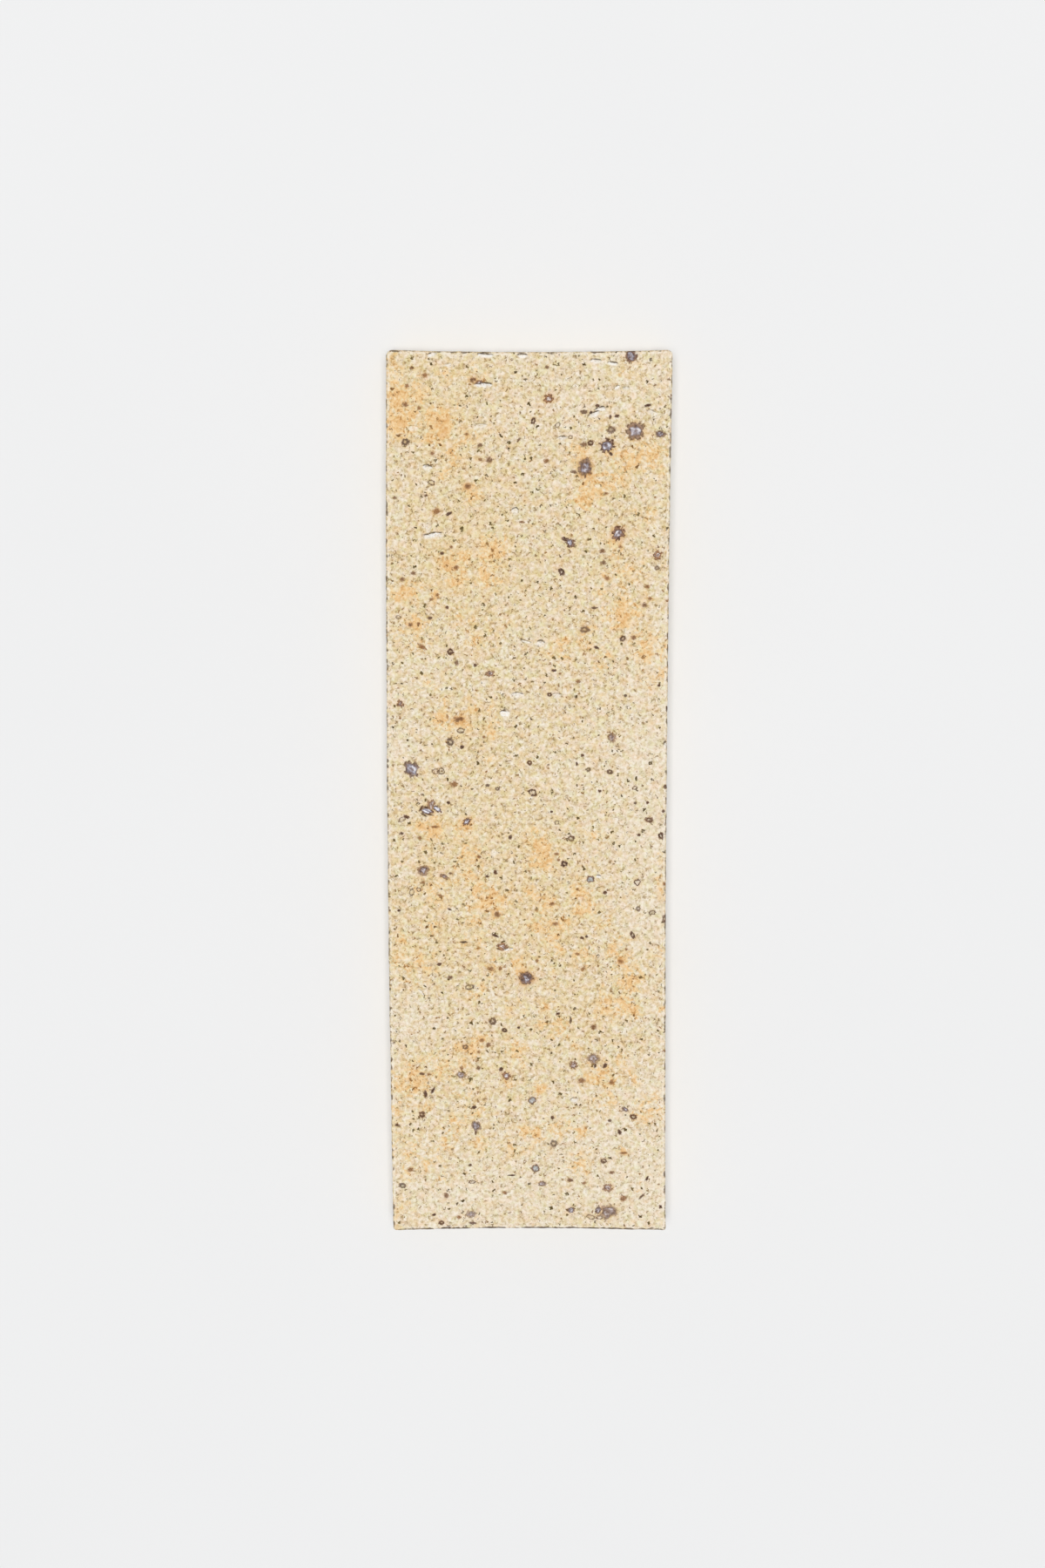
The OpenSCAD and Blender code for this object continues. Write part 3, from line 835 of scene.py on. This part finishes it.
@dataclass(frozen=True)
class FiredClay:
    """The unglazed buff stoneware, its colours in linear light and each row from dark to light."""

    sandy: tuple[Tone, ...] = (
        (0.320, 0.217, 0.113), (0.580, 0.442, 0.234), (0.718, 0.580, 0.346), (0.801, 0.674, 0.434),
        (0.876, 0.764, 0.536),
    )
    chalky: tuple[Tone, ...] = (
        (0.352, 0.251, 0.140), (0.624, 0.503, 0.325), (0.760, 0.651, 0.485), (0.839, 0.737, 0.590),
        (0.920, 0.838, 0.715),
    )
    toasted: tuple[Tone, ...] = (
        (0.420, 0.192, 0.058), (0.680, 0.373, 0.137), (0.810, 0.502, 0.215), (0.860, 0.578, 0.278),
        (0.910, 0.673, 0.385),
    )
    honeyed: tuple[Tone, ...] = (
        (0.390, 0.235, 0.080), (0.665, 0.455, 0.190), (0.800, 0.597, 0.300), (0.850, 0.675, 0.385),
        (0.905, 0.765, 0.490),
    )
    speck_tones: tuple[Tone, ...] = (
        (0.078, 0.050, 0.016), (0.146, 0.101, 0.034), (0.215, 0.150, 0.060), (0.180, 0.090, 0.028),
        (0.330, 0.170, 0.060),
    )
    # Glassy iron from dark purple-grey up to blue-grey and white; the blue-grey and white end is painted
    # reflection and painted glints.
    glass_tones: tuple[Tone, ...] = (
        (0.110, 0.072, 0.068), (0.235, 0.185, 0.195), (0.330, 0.310, 0.355), (0.560, 0.555, 0.640),
        (0.930, 0.915, 0.950),
    )
    # Scab tones from brown crust to pale bits; the white end is pale clay and painted glints together.
    scab_tones: tuple[Tone, ...] = (
        (0.085, 0.042, 0.026), (0.210, 0.115, 0.070), (0.420, 0.270, 0.190), (0.700, 0.560, 0.450),
        (0.930, 0.880, 0.830),
    )
    slag_tones: tuple[Tone, ...] = ((0.300, 0.305, 0.290), (0.560, 0.560, 0.540))
    blush: Tone = (1.0, 0.950, 0.900)
    rosy: Tone = (0.994, 0.932, 0.895)
    olive: Tone = (0.955, 0.990, 0.900)
    toast: Tone = (0.680, 0.340, 0.110)
    # Painted shade in the lips of the tears.
    umber: Tone = (0.110, 0.075, 0.045)
    crust: Tone = (0.064, 0.030, 0.014)
    crust_light: Tone = (0.275, 0.162, 0.118)
    rust: Tone = (0.230, 0.098, 0.034)
    rust_light: Tone = (0.490, 0.245, 0.100)
    # White of the tear walls: torn clay and painted light together.
    white: Tone = (0.960, 0.935, 0.890)
    # Brown of the scorched arris dashes, and painted shadow along the foot end.
    scorch: Tone = (0.120, 0.080, 0.050)
    roughness: float = 0.88
    crust_roughness: float = 0.68
    glass_roughness: float = 0.22
    shine: float = 0.2
    bump_depth: float = 1.1

    def material(self) -> bpy.types.Material:
        """Build the clay's material.

        Returns:
            The material.
        """
        material = bpy.data.materials.new(SLOT)
        material.use_nodes = True
        material.node_tree.nodes.clear()
        bench = Bench(material.node_tree)
        place = bench.place() * (1.0 / MM)
        tint = bench.read("spot_tint", "Vector")
        grain = bench.use(grain_group(), Place=place)
        bloom = bench.use(
            bloom_group(),
            Spot=bench.read("spot_place", "Vector"),
            Dress=bench.read("spot_dress", "Vector"),
            Tint=tint,
            Lively=bench.read("spot_gleam"),
        )
        tear = bench.use(tear_group(), Place=place, Tear=bench.read("tear_place", "Vector"))
        arris = bench.use(arris_group(), Place=place, Rim=bench.read("rim"))
        colour = self.body_colour(bench, place, grain)
        colour = self.specks(bench, place, colour)
        colour = self.iron(bench, tint, colour, bloom)
        # Tear walls get white clay with painted light, tear lips painted shade, the arris a painted highlight
        # line, and brown dashes that run on as a painted shadow line along the foot end.
        coats = (
            (tear["Wall"], self.white),
            (tear["Lip"] * 0.9, self.umber),
            (arris["Rub"] * 0.7, self.chalky[-1]),
            (arris["Scorch"] * 0.95, self.scorch),
        )
        for cover, coat in coats:
            colour = bench.blend(cover, colour, coat)
        rough = bloom["Crust"].rise(0.0, 1.0, self.roughness, self.crust_roughness)
        rough = bloom["Glass"].rise(0.0, 1.0, rough, self.glass_roughness)
        height = grain["Height"] + (bloom["Height"] + tear["Height"])
        relief = bench.wire("ShaderNodeBump", 0, {"Distance": self.bump_depth * MM, "Height": height})
        feeds = {"Base Color": colour, "Roughness": rough, "Normal": relief, "Specular IOR Level": self.shine}
        bench.add("ShaderNodeOutputMaterial", {"Surface": bench.wire("ShaderNodeBsdfPrincipled", 0, feeds)})
        return material

    def body_colour(self, bench: Bench, place: Wire, grain: dict[str, Wire]) -> Wire:
        """Colour the plain clay and the flashing on it.

        Args:
            bench: Where the nodes go.
            place: Place on the slab in millimetres.
            grain: What the grain group gives.

        Returns:
            The colour.
        """
        bleach, flash = bench.read("bleach"), bench.read("flash")
        rows = (self.sandy, self.chalky, self.honeyed, self.toasted)
        sandy, chalky, honeyed, toasted = (bench.ramp(grain["Tone"], row) for row in rows)
        hue = (place + (0.0, 60.0, 20.0)).noise(0.62, 2.0, 0.6)
        colour = bench.blend((grain["Chalk"] + bleach).clamped(), sandy, chalky)
        colour = bench.blend((bleach * 0.26).clamped(), colour, self.chalky[-1])
        stains = (
            ((grain["Blush"] - bleach).clamped(), self.blush),
            (hue.rise(0.50, 0.68), self.rosy),
            (hue.fall(0.32, 0.50), self.olive),
        )
        for cover, stain in stains:
            colour = bench.blend(cover, colour, stain, "MULTIPLY")
        cloud = (place + place.wander(0.30, 2.0, 0.6) * 7.0).noise(0.45, 3.0, 0.55)
        fleck = (place + (9.0, 0.0, 40.0)).noise(1.7, 2.0, 0.6)
        spread = (flash + (cloud * 2.6 - 1.30)) + (fleck * 1.3 - 0.65)
        warmth = spread.rise(0.0, 0.90) * flash.rise(0.0, 0.15)
        flashed = bench.blend(spread.rise(0.15, 0.80), honeyed, toasted)
        flashed = bench.blend(spread.rise(0.75, 1.50, 0.0, 0.6), flashed, self.toast)
        return bench.blend(warmth * 0.88, colour, flashed)

    def specks(self, bench: Bench, place: Wire, colour: Wire) -> Wire:
        """Scatter the small specks over the clay.

        Args:
            bench: Where the nodes go.
            place: Place on the slab in millimetres.
            colour: The clay's colour.

        Returns:
            The colour with the specks on it.
        """
        bleach, flash = bench.read("bleach"), bench.read("flash")
        group = speck_group()
        layers = (
            (1.30, 0.35, 0.30, 1.60, 0.42),
            (0.90, 0.52, 0.37, 1.90, 0.86),
            (0.58, 0.50, 0.47, 1.50, 1.00),
        )
        for order, (per_mm, share, reach, ragged, strength) in enumerate(layers):
            shifted = place + (31.0 * order, 17.0 * order, 5.0 * order)
            thinned = (1.10 - bleach) * share
            sizes = {"Density": per_mm, "Share": thinned, "Reach": reach, "Ragged": ragged}
            specks = bench.use(group, Place=shifted, **sizes)
            warmed = (specks["Lot"] + (flash * 1.2 - bleach * 0.15)).clamped()
            colour = bench.blend(specks["Mask"] * strength, colour, bench.ramp(warmed, self.speck_tones))
        return colour

    def iron(self, bench: Bench, tint: Wire, colour: Wire, bloom: dict[str, Wire]) -> Wire:
        """Lay the iron spots and their halos on the clay, with painted highlights and glints in the glassy
        bowls.

        Args:
            bench: Where the nodes go.
            tint: The spots' tints.
            colour: The clay's colour.
            bloom: What the bloom group gives.

        Returns:
            The colour with the iron on it.
        """
        red, pale, _ = tint.split()
        shell = bench.blend(red, self.crust_light, self.rust_light)
        line = bench.blend(red, self.crust, self.rust)
        ring = bench.blend(bloom["Deep"], shell, line)
        ring = bench.blend(bloom["Fringe"] * 0.6, ring, self.rust_light)
        # The bowls are read at the mottle and painted glint level, so their light tones are painted
        # highlights and glints.
        rows = (self.glass_tones, self.scab_tones, self.slag_tones)
        glass, scab, slag = (bench.ramp(bloom["Gleam"], row) for row in rows)
        pool = bench.blend(pale, bench.blend(red, glass, scab), slag)
        colour = bench.blend(bench.read("halo") * 0.8, colour, self.toast)
        colour = bench.blend(bloom["Crust"], colour, ring)
        return bench.blend(bloom["Glass"] * 0.95, colour, pool)


@dataclass(frozen=True)
class Push:
    """A push of the surface along its normals, in millimetres, even or varied by clouds."""

    name: str
    group: str
    reach: float
    lump: float = 0.0
    layers: int = 1
    basis: str = "BLENDER_ORIGINAL"
    level: float = 0.5

    def apply(self, piece: bpy.types.Object) -> None:
        """Push a piece as far as its vertex group lets it.

        Args:
            piece: The piece.
        """
        modifier = piece.modifiers.new(self.name, "DISPLACE")
        modifier.vertex_group = self.group
        modifier.direction = "NORMAL"
        modifier.strength = self.reach * MM
        modifier.mid_level = 0.0
        if self.lump:
            texture = bpy.data.textures.new(self.name, "CLOUDS")
            texture.noise_scale = self.lump * MM
            texture.noise_depth = self.layers
            texture.noise_basis = self.basis
            modifier.mid_level = self.level
            modifier.texture = texture
            modifier.texture_coords = "LOCAL"
        bpy.ops.object.modifier_apply(modifier=modifier.name)


@dataclass(frozen=True)
class BakeSheet:
    """Where the slab's faces lie on the square sheet for baking, in the sheet's own smallest steps."""

    side: float = 1024.0
    left: float = 10.0
    middle: float = 516.0
    right: float = 518.0
    bottom: float = 10.0
    upper: float = 480.0
    back: float = 838.0
    head: float = 948.0
    edge_row: float = 69.0
    face_scale: float = 7.1
    edge_scale: float = 4.85
    back_scale: float = 2.42
    steep: float = 0.6


def read_vectors(items: bpy.types.bpy_prop_collection, field: str) -> np.ndarray:
    """Read one vector field of many items.

    Args:
        items: Vertices or faces.
        field: The field's name.

    Returns:
        One row of three numbers for each item.
    """
    values = np.empty(len(items) * 3)
    items.foreach_get(field, values)
    return values.reshape(-1, 3)


@dataclass(frozen=True)
class Corners:
    """The face corners of a mesh: each one's place and face, and the faces' middles, in millimetres."""

    places: np.ndarray
    faces: np.ndarray
    middles: np.ndarray

    @classmethod
    def read(cls, mesh: bpy.types.Mesh) -> "Corners":
        """Read the face corners of a mesh.

        Args:
            mesh: The mesh.

        Returns:
            Its corners.
        """
        vertices = np.empty(len(mesh.loops), int)
        mesh.loops.foreach_get("vertex_index", vertices)
        totals = np.empty(len(mesh.polygons), int)
        mesh.polygons.foreach_get("loop_total", totals)
        faces = np.repeat(np.arange(len(totals)), totals)
        places = read_vectors(mesh.vertices, "co")[vertices] / MM
        sums = [np.bincount(faces, weights=axis, minlength=len(totals)) for axis in places.T]
        return cls(places, faces, np.stack(sums, axis=1) / totals[:, None])

    def claim(self, marks: Sequence[Mark], reach: np.ndarray) -> tuple[np.ndarray, np.ndarray]:
        """Find the nearest mark to each face.

        Args:
            marks: The marks.
            reach: How far a mark reaches for each face, in its own half sizes.

        Returns:
            For each corner the number of its face's mark, or -1, and its place on that mark.
        """
        owner = np.full(len(reach), -1)
        best = reach.copy()
        for number, mark in enumerate(marks):
            away = np.hypot(*mark.measure(self.middles))
            nearer = away < best
            owner[nearer] = number
            best[nearer] = away[nearer]
        owner = owner[self.faces]
        own_places = np.full((len(owner), 2), NOWHERE)
        for number, mark in enumerate(marks):
            mine = owner == number
            own_places[mine] = np.stack(mark.measure(self.places[mine]), axis=1)
        return owner, own_places


@dataclass
class PressedTile:
    """The fired slab as one closed mesh."""

    form: TileForm
    sheet: BakeSheet
    clay: FiredClay
    name: str = "fired_tile"
    pushes: tuple[Push, ...] = (
        Push("raised_marks", "raised", 1.0),
        Push("sunk_marks", "sunk", -1.0),
        Push("pressed_skin", "skin", 0.13, 2.4),
        Push("slow_swell", "skin", 0.16, 14.0, basis="ORIGINAL_PERLIN"),
        Push("arris_nicks", "arris", 0.42, 1.5, layers=2, level=0.60),
    )
    toasted_fall_off: float = 0.65
    spill: float = 0.10
    spill_fall_off: float = 0.25
    spot_reach: float = 1.9
    tear_reach: float = 2.2
    spot_shift: float = 0.37
    piece: Optional[bpy.types.Object] = None

    def build(self) -> bpy.types.Object:
        """Model the slab.

        Returns:
            The finished piece.
        """
        self.show_face()
        self.turn_down_edges()
        self.close_back()
        self.refine_marks()
        self.round_corners()
        self.raise_and_sink()
        self.note_patches()
        self.note_marks()
        self.bow_slab()
        self.lay_out_bake()
        self.finish_mesh()
        return self.piece

    def places(self) -> np.ndarray:
        """Read the places of the vertices in millimetres."""
        return read_vectors(self.piece.data.vertices, "co") / MM

    def move(self, places: np.ndarray) -> None:
        """Move the vertices to places given in millimetres."""
        self.piece.data.vertices.foreach_set("co", (places * MM).ravel())
        self.piece.data.update()

    def note(self, name: str, values: np.ndarray) -> None:
        """Add an attribute to the mesh.

        Args:
            name: The attribute's name.
            values: A number or a vector for each vertex or each face corner.
        """
        mesh = self.piece.data
        kind, field = ("FLOAT", "value") if values.ndim == 1 else ("FLOAT_VECTOR", "vector")
        domain = "POINT" if len(values) == len(mesh.vertices) else "CORNER"
        mesh.attributes.new(name, kind, domain).data.foreach_set(field, values.astype(np.float32).ravel())

    def edit(self, kind: str) -> None:
        """Go into edit mode to pick edges or faces, with nothing picked yet.

        Args:
            kind: Blender's name for what is picked.
        """
        bpy.ops.object.mode_set(mode="EDIT")
        bpy.ops.mesh.select_mode(type=kind)
        bpy.ops.mesh.select_all(action="DESELECT")

    def lay_grid(self, cell: float, height: float) -> None:
        """Add a flat grid one millimetre square, with cells for the size that it is stretched to.

        Args:
            cell: About how large its cells come out, in millimetres.
            height: Its height in millimetres.
        """
        columns, rows = (round(side / cell) for side in self.form.flat_size())
        place = (0.0, 0.0, height * MM)
        bpy.ops.mesh.primitive_grid_add(x_subdivisions=columns, y_subdivisions=rows, size=MM, location=place)

    def show_face(self) -> None:
        """Start from a grid the size of the flat of the show face."""
        bpy.ops.object.select_all(action="DESELECT")
        self.lay_grid(self.form.face_cell, self.form.thickness)
        self.piece = bpy.context.object
        self.piece.name = self.name
        self.piece.data.name = self.name
        self.piece.scale = (*self.form.flat_size(), 1.0)
        bpy.ops.object.transform_apply(location=True, rotation=True, scale=True)

    def turn_down_edges(self) -> None:
        """Extrude the face's border ring by ring over the arris and down the sides."""
        form = self.form
        self.edit("EDGE")
        bpy.ops.mesh.select_non_manifold()
        inset, height = form.flat_margin, form.thickness
        for next_inset, next_height in form.rings():
            drop = (0.0, 0.0, (next_height - height) * MM)
            bpy.ops.mesh.extrude_edges_move(TRANSFORM_OT_translate={"value": drop})
            grow_x = (form.width - 2.0 * next_inset) / (form.width - 2.0 * inset)
            grow_y = (form.length - 2.0 * next_inset) / (form.length - 2.0 * inset)
            bpy.ops.transform.resize(value=(grow_x, grow_y, 1.0), center_override=(0.0, 0.0, 0.0))
            inset, height = next_inset, next_height
        bpy.ops.object.mode_set(mode="OBJECT")

    def close_back(self) -> None:
        """Add the bond face as a coarser grid and bridge it to the sides."""
        self.edit("EDGE")
        self.lay_grid(self.form.back_cell, 0.0)
        bpy.ops.transform.resize(value=(*self.form.flat_size(), 1.0), center_override=(0.0, 0.0, 0.0))
        bpy.ops.mesh.flip_normals()
        bpy.ops.mesh.select_all(action="DESELECT")
        bpy.ops.mesh.select_non_manifold()
        bpy.ops.mesh.bridge_edge_loops()
        bpy.ops.mesh.select_all(action="SELECT")
        bpy.ops.mesh.normals_make_consistent(inside=False)
        bpy.ops.object.mode_set(mode="OBJECT")

    def refine_marks(self) -> None:
        """Subdivide the show face under the spots and tears, twice under the larger ones."""
        faces = self.piece.data.polygons
        for least, spread in self.form.finer_marks:
            middles = read_vectors(faces, "center") / MM
            chosen = np.zeros(len(middles), bool)
            for mark in IRON_SPOTS + TEARS:
                if mark.long >= least:
                    u, v = mark.measure(middles)
                    chosen |= u * u + v * v < spread * spread
            chosen &= middles[:, 2] > self.form.thickness - self.form.skin
            self.edit("FACE")
            bpy.ops.object.mode_set(mode="OBJECT")
            faces.foreach_set("select", chosen)
            bpy.ops.object.mode_set(mode="EDIT")
            bpy.ops.mesh.subdivide(number_cuts=1)
            bpy.ops.object.mode_set(mode="OBJECT")

    def round_corners(self) -> None:
        """Draw the square corners in to their radii."""
        half_w, half_l = self.form.width / 2.0, self.form.length / 2.0
        eighth = math.pi / 4.0
        places = self.places()
        for radius, (sign_x, sign_y) in zip(self.form.corner_radii, ((-1, -1), (1, -1), (1, 1), (-1, 1))):
            u = (places[:, 0] * sign_x - (half_w - radius)) / radius
            v = (places[:, 1] * sign_y - (half_l - radius)) / radius
            inside = (u > 0.0) & (v > 0.0)
            u, v = u[inside], v[inside]
            far = np.maximum(u, v)
            steep = np.arctan2(v, u) > eighth
            angle = np.where(steep, 2.0 * eighth - u / far * eighth, v / far * eighth)
            places[inside, 0] = sign_x * (half_w - radius + radius * far * np.cos(angle))
            places[inside, 1] = sign_y * (half_l - radius + radius * far * np.sin(angle))
        self.move(places)

    def raise_and_sink(self) -> None:
        """Give the slab its relief with displace modifiers, weighed by vertex groups."""
        form = self.form
        places = self.places()
        relief = self.mark_relief(places)
        off_back = np.clip((places[:, 2] - form.back_arris) / form.back_band, 0.0, 1.0)
        weights = {
            "raised": np.clip(relief, 0.0, None),
            "sunk": np.clip(-relief, 0.0, None),
            "arris": np.clip(1.0 - form.rim_distance(places) / form.arris_band, 0.0, 1.0) * off_back,
            "skin": np.clip(1.0 - np.abs(relief) / form.calm_relief, form.least_calm, 1.0) * off_back,
        }
        for name, amounts in weights.items():
            group = self.piece.vertex_groups.new(name=name)
            for index in np.nonzero(amounts > 0.0)[0]:
                group.add((int(index),), float(amounts[index]), "REPLACE")
        for push in self.pushes:
            push.apply(self.piece)

    def mark_relief(self, places: np.ndarray) -> np.ndarray:
        """Height of the spots and tears over the flat face.

        Args:
            places: Where it is wanted, in millimetres.

        Returns:
            The height in millimetres at each place.
        """
        relief = np.zeros(len(places))
        top = places[:, 2] > self.form.thickness - self.form.skin
        for spot in IRON_SPOTS:
            rho = np.hypot(*spot.measure(places))
            near = top & (rho < spot.reach)
            own = spot.relief(rho[near])
            relief[near] = np.where(np.abs(own) > np.abs(relief[near]), own, relief[near])
        for tear in TEARS:
            u, v = tear.measure(places)
            near = top & (np.abs(u) < 1.0) & (np.abs(v) < tear.reach)
            relief[near] = np.minimum(relief[near], tear.relief(u[near], v[near]))
        return relief

    def note_patches(self) -> None:
        """Write on the mesh how flashed, bleached and haloed it is, and how far the arris is."""
        skin = self.form.flashed_skin
        places = self.places()
        top = np.clip((places[:, 2] - self.form.thickness + skin) / skin, 0.0, 1.0)
        flash, halo = np.zeros(len(places)), np.zeros(len(places))
        for patch in FLASHES:
            flash = np.maximum(flash, patch.glow(places, self.toasted_fall_off))
            flash += self.spill * patch.glow(places, self.spill_fall_off)
        for spot in IRON_SPOTS:
            if spot.halo:
                away = np.hypot(*spot.measure(places)) / spot.halo_reach
                halo = np.maximum(halo, spot.halo * np.exp(-(away**3)))
        self.note("flash", np.clip(flash, 0.0, 1.0) * top)
        self.note("bleach", sum(patch.glow(places, 1.0) for patch in BLEACHES))
        self.note("halo", halo * top)
        self.note("rim", self.form.rim_distance(places))

    def note_marks(self) -> None:
        """Write on every face corner its place on the nearest spot and tear, and that spot's dress."""
        corners = Corners.read(self.piece.data)
        noted = corners.middles[:, 2] > self.form.thickness - self.form.noted_skin
        dresses = [spot.kind.value for spot in IRON_SPOTS]
        shifts = [number * self.spot_shift for number in range(len(IRON_SPOTS))] + [NOWHERE]
        shapes = [(dress.spikes, dress.glass, dress.hollow) for dress in dresses] + [PLAIN]
        tints = [dress.tint(number) for number, dress in enumerate(dresses)] + [PLAIN]
        gleams = [dress.gleam for dress in dresses] + [0.0]
        whites = [tear.white for tear in TEARS] + [NOWHERE]
        owner, spot_places = corners.claim(IRON_SPOTS, np.where(noted, self.spot_reach, 0.0))
        self.note("spot_place", np.column_stack((spot_places, np.array(shifts)[owner])))
        self.note("spot_dress", np.array(shapes)[owner])
        self.note("spot_tint", np.array(tints)[owner])
        self.note("spot_gleam", np.array(gleams)[owner])
        owner, tear_places = corners.claim(TEARS, np.where(noted, self.tear_reach, 0.0))
        self.note("tear_place", np.column_stack((tear_places, np.array(whites)[owner])))

    def bow_slab(self) -> None:
        """Give the slab the slight sideways bow, full sides and hollow ends that it took in the kiln."""
        form = self.form
        places = self.places()
        across = 2.0 * places[:, 0] / form.width
        along = 2.0 * places[:, 1] / form.length
        places[:, 0] += form.bow(places[:, 1]) + form.swell * across
        places[:, 1] -= form.end_hollow * along**form.end_reach * (1.0 - across**2)
        places[:, 1] += form.head_rise * np.clip(along, 0.0, None) ** form.end_reach
        self.move(places)

    def lay_out_bake(self) -> None:
        """Lay the slab out flat for baking, with most of the sheet given to the show face."""
        sheet, mesh = self.sheet, self.piece.data
        half_w, half_l = self.form.width / 2.0, self.form.length / 2.0
        corners = Corners.read(mesh)
        across, along, height = (corners.places + (half_w, half_l, 0.0)).T
        middle = corners.middles[corners.faces, 1]
        normals = read_vectors(mesh.polygons, "normal")[corners.faces]
        show, bond = normals[:, 2] > sheet.steep, normals[:, 2] < -sheet.steep
        flank = ~(show | bond) & (np.abs(normals[:, 0]) >= np.abs(normals[:, 1]))
        end = ~(show | bond | flank)
        third = self.form.length / 3.0
        low, high = middle < third - half_l, middle >= half_l - third
        foot, west, south = middle < 0.0, normals[:, 0] < 0.0, normals[:, 1] < 0.0
        rows = [sheet.upper + sheet.edge_row * row for row in range(5)]
        stretches = (
            (show & low, along, across, sheet.face_scale, sheet.left, sheet.bottom),
            (show & ~low & ~high, along - third, across, sheet.face_scale, sheet.middle, sheet.bottom),
            (show & high, along - 2.0 * third, across, sheet.face_scale, sheet.left, sheet.upper),
            (flank & west & foot, along, height, sheet.edge_scale, sheet.right, rows[0]),
            (flank & west & ~foot, along - half_l, height, sheet.edge_scale, sheet.right, rows[1]),
            (flank & ~west & foot, along, height, sheet.edge_scale, sheet.right, rows[2]),
            (flank & ~west & ~foot, along - half_l, height, sheet.edge_scale, sheet.right, rows[3]),
            (end & ~south, across, height, sheet.edge_scale, sheet.right, rows[4]),
            (end & south, across, height, sheet.edge_scale, sheet.left, sheet.head),
            (bond, along, across, sheet.back_scale, sheet.right, sheet.back),
        )
        spots = np.zeros((len(middle), 2))
        for mine, right, up, scale, left, bottom in stretches:
            spots[mine, 0] = left + right[mine] * scale
            spots[mine, 1] = bottom + up[mine] * scale
        mesh.uv_layers.new(name="OFBake").data.foreach_set("uv", (spots / sheet.side).ravel())

    def finish_mesh(self) -> None:
        """Smooth the slab, dress it, and put it on its body."""
        piece = self.piece
        bpy.ops.object.shade_smooth()
        piece.data.materials.clear()
        piece.data.materials.append(self.clay.material())
        piece.vertex_groups.clear()
        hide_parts(NODE)
        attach(piece, BODY)


@dataclass(frozen=True)
class Studio:
    """A pale floor, a soft lamp and the camera, in metres."""

    floor_tone: Tone = (0.850, 0.853, 0.857)
    weave_tone: Tone = (0.975, 0.975, 0.975)
    floor_side: float = 6.0
    floor_drop: float = 0.02 * MM
    floor_roughness: float = 0.95
    floor_shine: float = 0.1
    sky_strength: float = 0.38
    backdrop_strength: float = 0.84
    lamp_place: Place = (-0.03, 0.40, 4.2)
    lamp_side: float = 1.4
    lamp_power: float = 120.0
    lens: float = 62.7
    sensor: float = 36.0
    near_limit: float = 0.01
    camera_place: Place = (0.00066, 0.0996, 0.6277)
    camera_target: Place = (0.00066, 0.0, 0.0127)
    shift: tuple[float, float] = (-0.00549, 0.01160)

    def build(self) -> None:
        """Set up the floor, the light and the camera."""
        self.floor()
        self.sky()
        self.lamp()
        self.camera()

    def floor(self) -> None:
        """Lay the floor under the tile."""
        bpy.ops.object.select_all(action="DESELECT")
        bpy.ops.mesh.primitive_plane_add(size=self.floor_side, location=(0.0, 0.0, -self.floor_drop))
        floor = bpy.context.object
        floor.name = "paper_floor"
        bpy.ops.object.transform_apply(location=True, rotation=True, scale=True)
        material = bpy.data.materials.new("paper")
        material.use_nodes = True
        inputs = material.node_tree.nodes["Principled BSDF"].inputs
        bench = Bench(material.node_tree)
        dim = tuple(tone * weave for tone, weave in zip(self.floor_tone, self.weave_tone))
        bench.feed(inputs["Base Color"], bench.blend(bench.place().noise(9.0), self.floor_tone, dim))
        bench.feed(inputs["Roughness"], self.floor_roughness)
        bench.feed(inputs["Specular IOR Level"], self.floor_shine)
        floor.data.materials.append(material)

    def sky(self) -> None:
        """Fill the scene with even light, with a paler backdrop where it is seen."""
        world = bpy.data.worlds.new("studio")
        world.use_nodes = True
        inputs = world.node_tree.nodes["Background"].inputs
        bench = Bench(world.node_tree)
        rays = ("Is Camera Ray", "Is Glossy Ray", "Is Transmission Ray")
        straight, glossy, through = (bench.wire("ShaderNodeLightPath", ray) for ray in rays)
        paler = straight.most(glossy).most(through) * (self.backdrop_strength - self.sky_strength)
        bench.feed(inputs["Color"], (1.0, 1.0, 1.0))
        bench.feed(inputs["Strength"], paler + self.sky_strength)
        bpy.context.scene.world = world

    def lamp(self) -> None:
        """Hang the soft lamp beyond the far end of the tile."""
        place = Vector(self.lamp_place)
        lean = (-place).to_track_quat("-Z", "Y").to_euler()
        bpy.ops.object.light_add(type="AREA", location=place, rotation=lean)
        lamp = bpy.context.object
        lamp.name = "soft_box"
        lamp.data.shape = "SQUARE"
        lamp.data.size = self.lamp_side
        lamp.data.energy = self.lamp_power

    def camera(self) -> None:
        """Point the camera down at the show face."""
        place = Vector(self.camera_place)
        aim = Vector(self.camera_target) - place
        bpy.ops.object.camera_add(location=place, rotation=(math.atan2(aim.y, -aim.z), 0.0, 0.0))
        camera = bpy.context.object
        camera.name = "camera"
        camera.data.lens = self.lens
        camera.data.sensor_width = self.sensor
        camera.data.shift_x, camera.data.shift_y = self.shift
        camera.data.clip_start = self.near_limit
        bpy.context.scene.camera = camera


def main() -> None:
    """Build the tile and the studio, and report each."""
    logging.basicConfig(level=logging.INFO, format="%(name)s: %(message)s")
    tile = PressedTile(TileForm(), BakeSheet(), FiredClay()).build()
    triangles = sum(face.loop_total - 2 for face in tile.data.polygons)
    log.info("%s: %d triangles, %d iron spots, %d tears", tile.name, triangles, len(IRON_SPOTS), len(TEARS))
    for kind, rows in SPOT_ROWS.items():
        log.info("iron spots: %d with the look of a %s", len(rows), kind.value.look)
    Studio().build()
    log.info("studio: floor, soft lamp and camera")
    bpy.context.scene.view_settings.view_transform = "Standard"


if __name__ == "__main__":
    main()
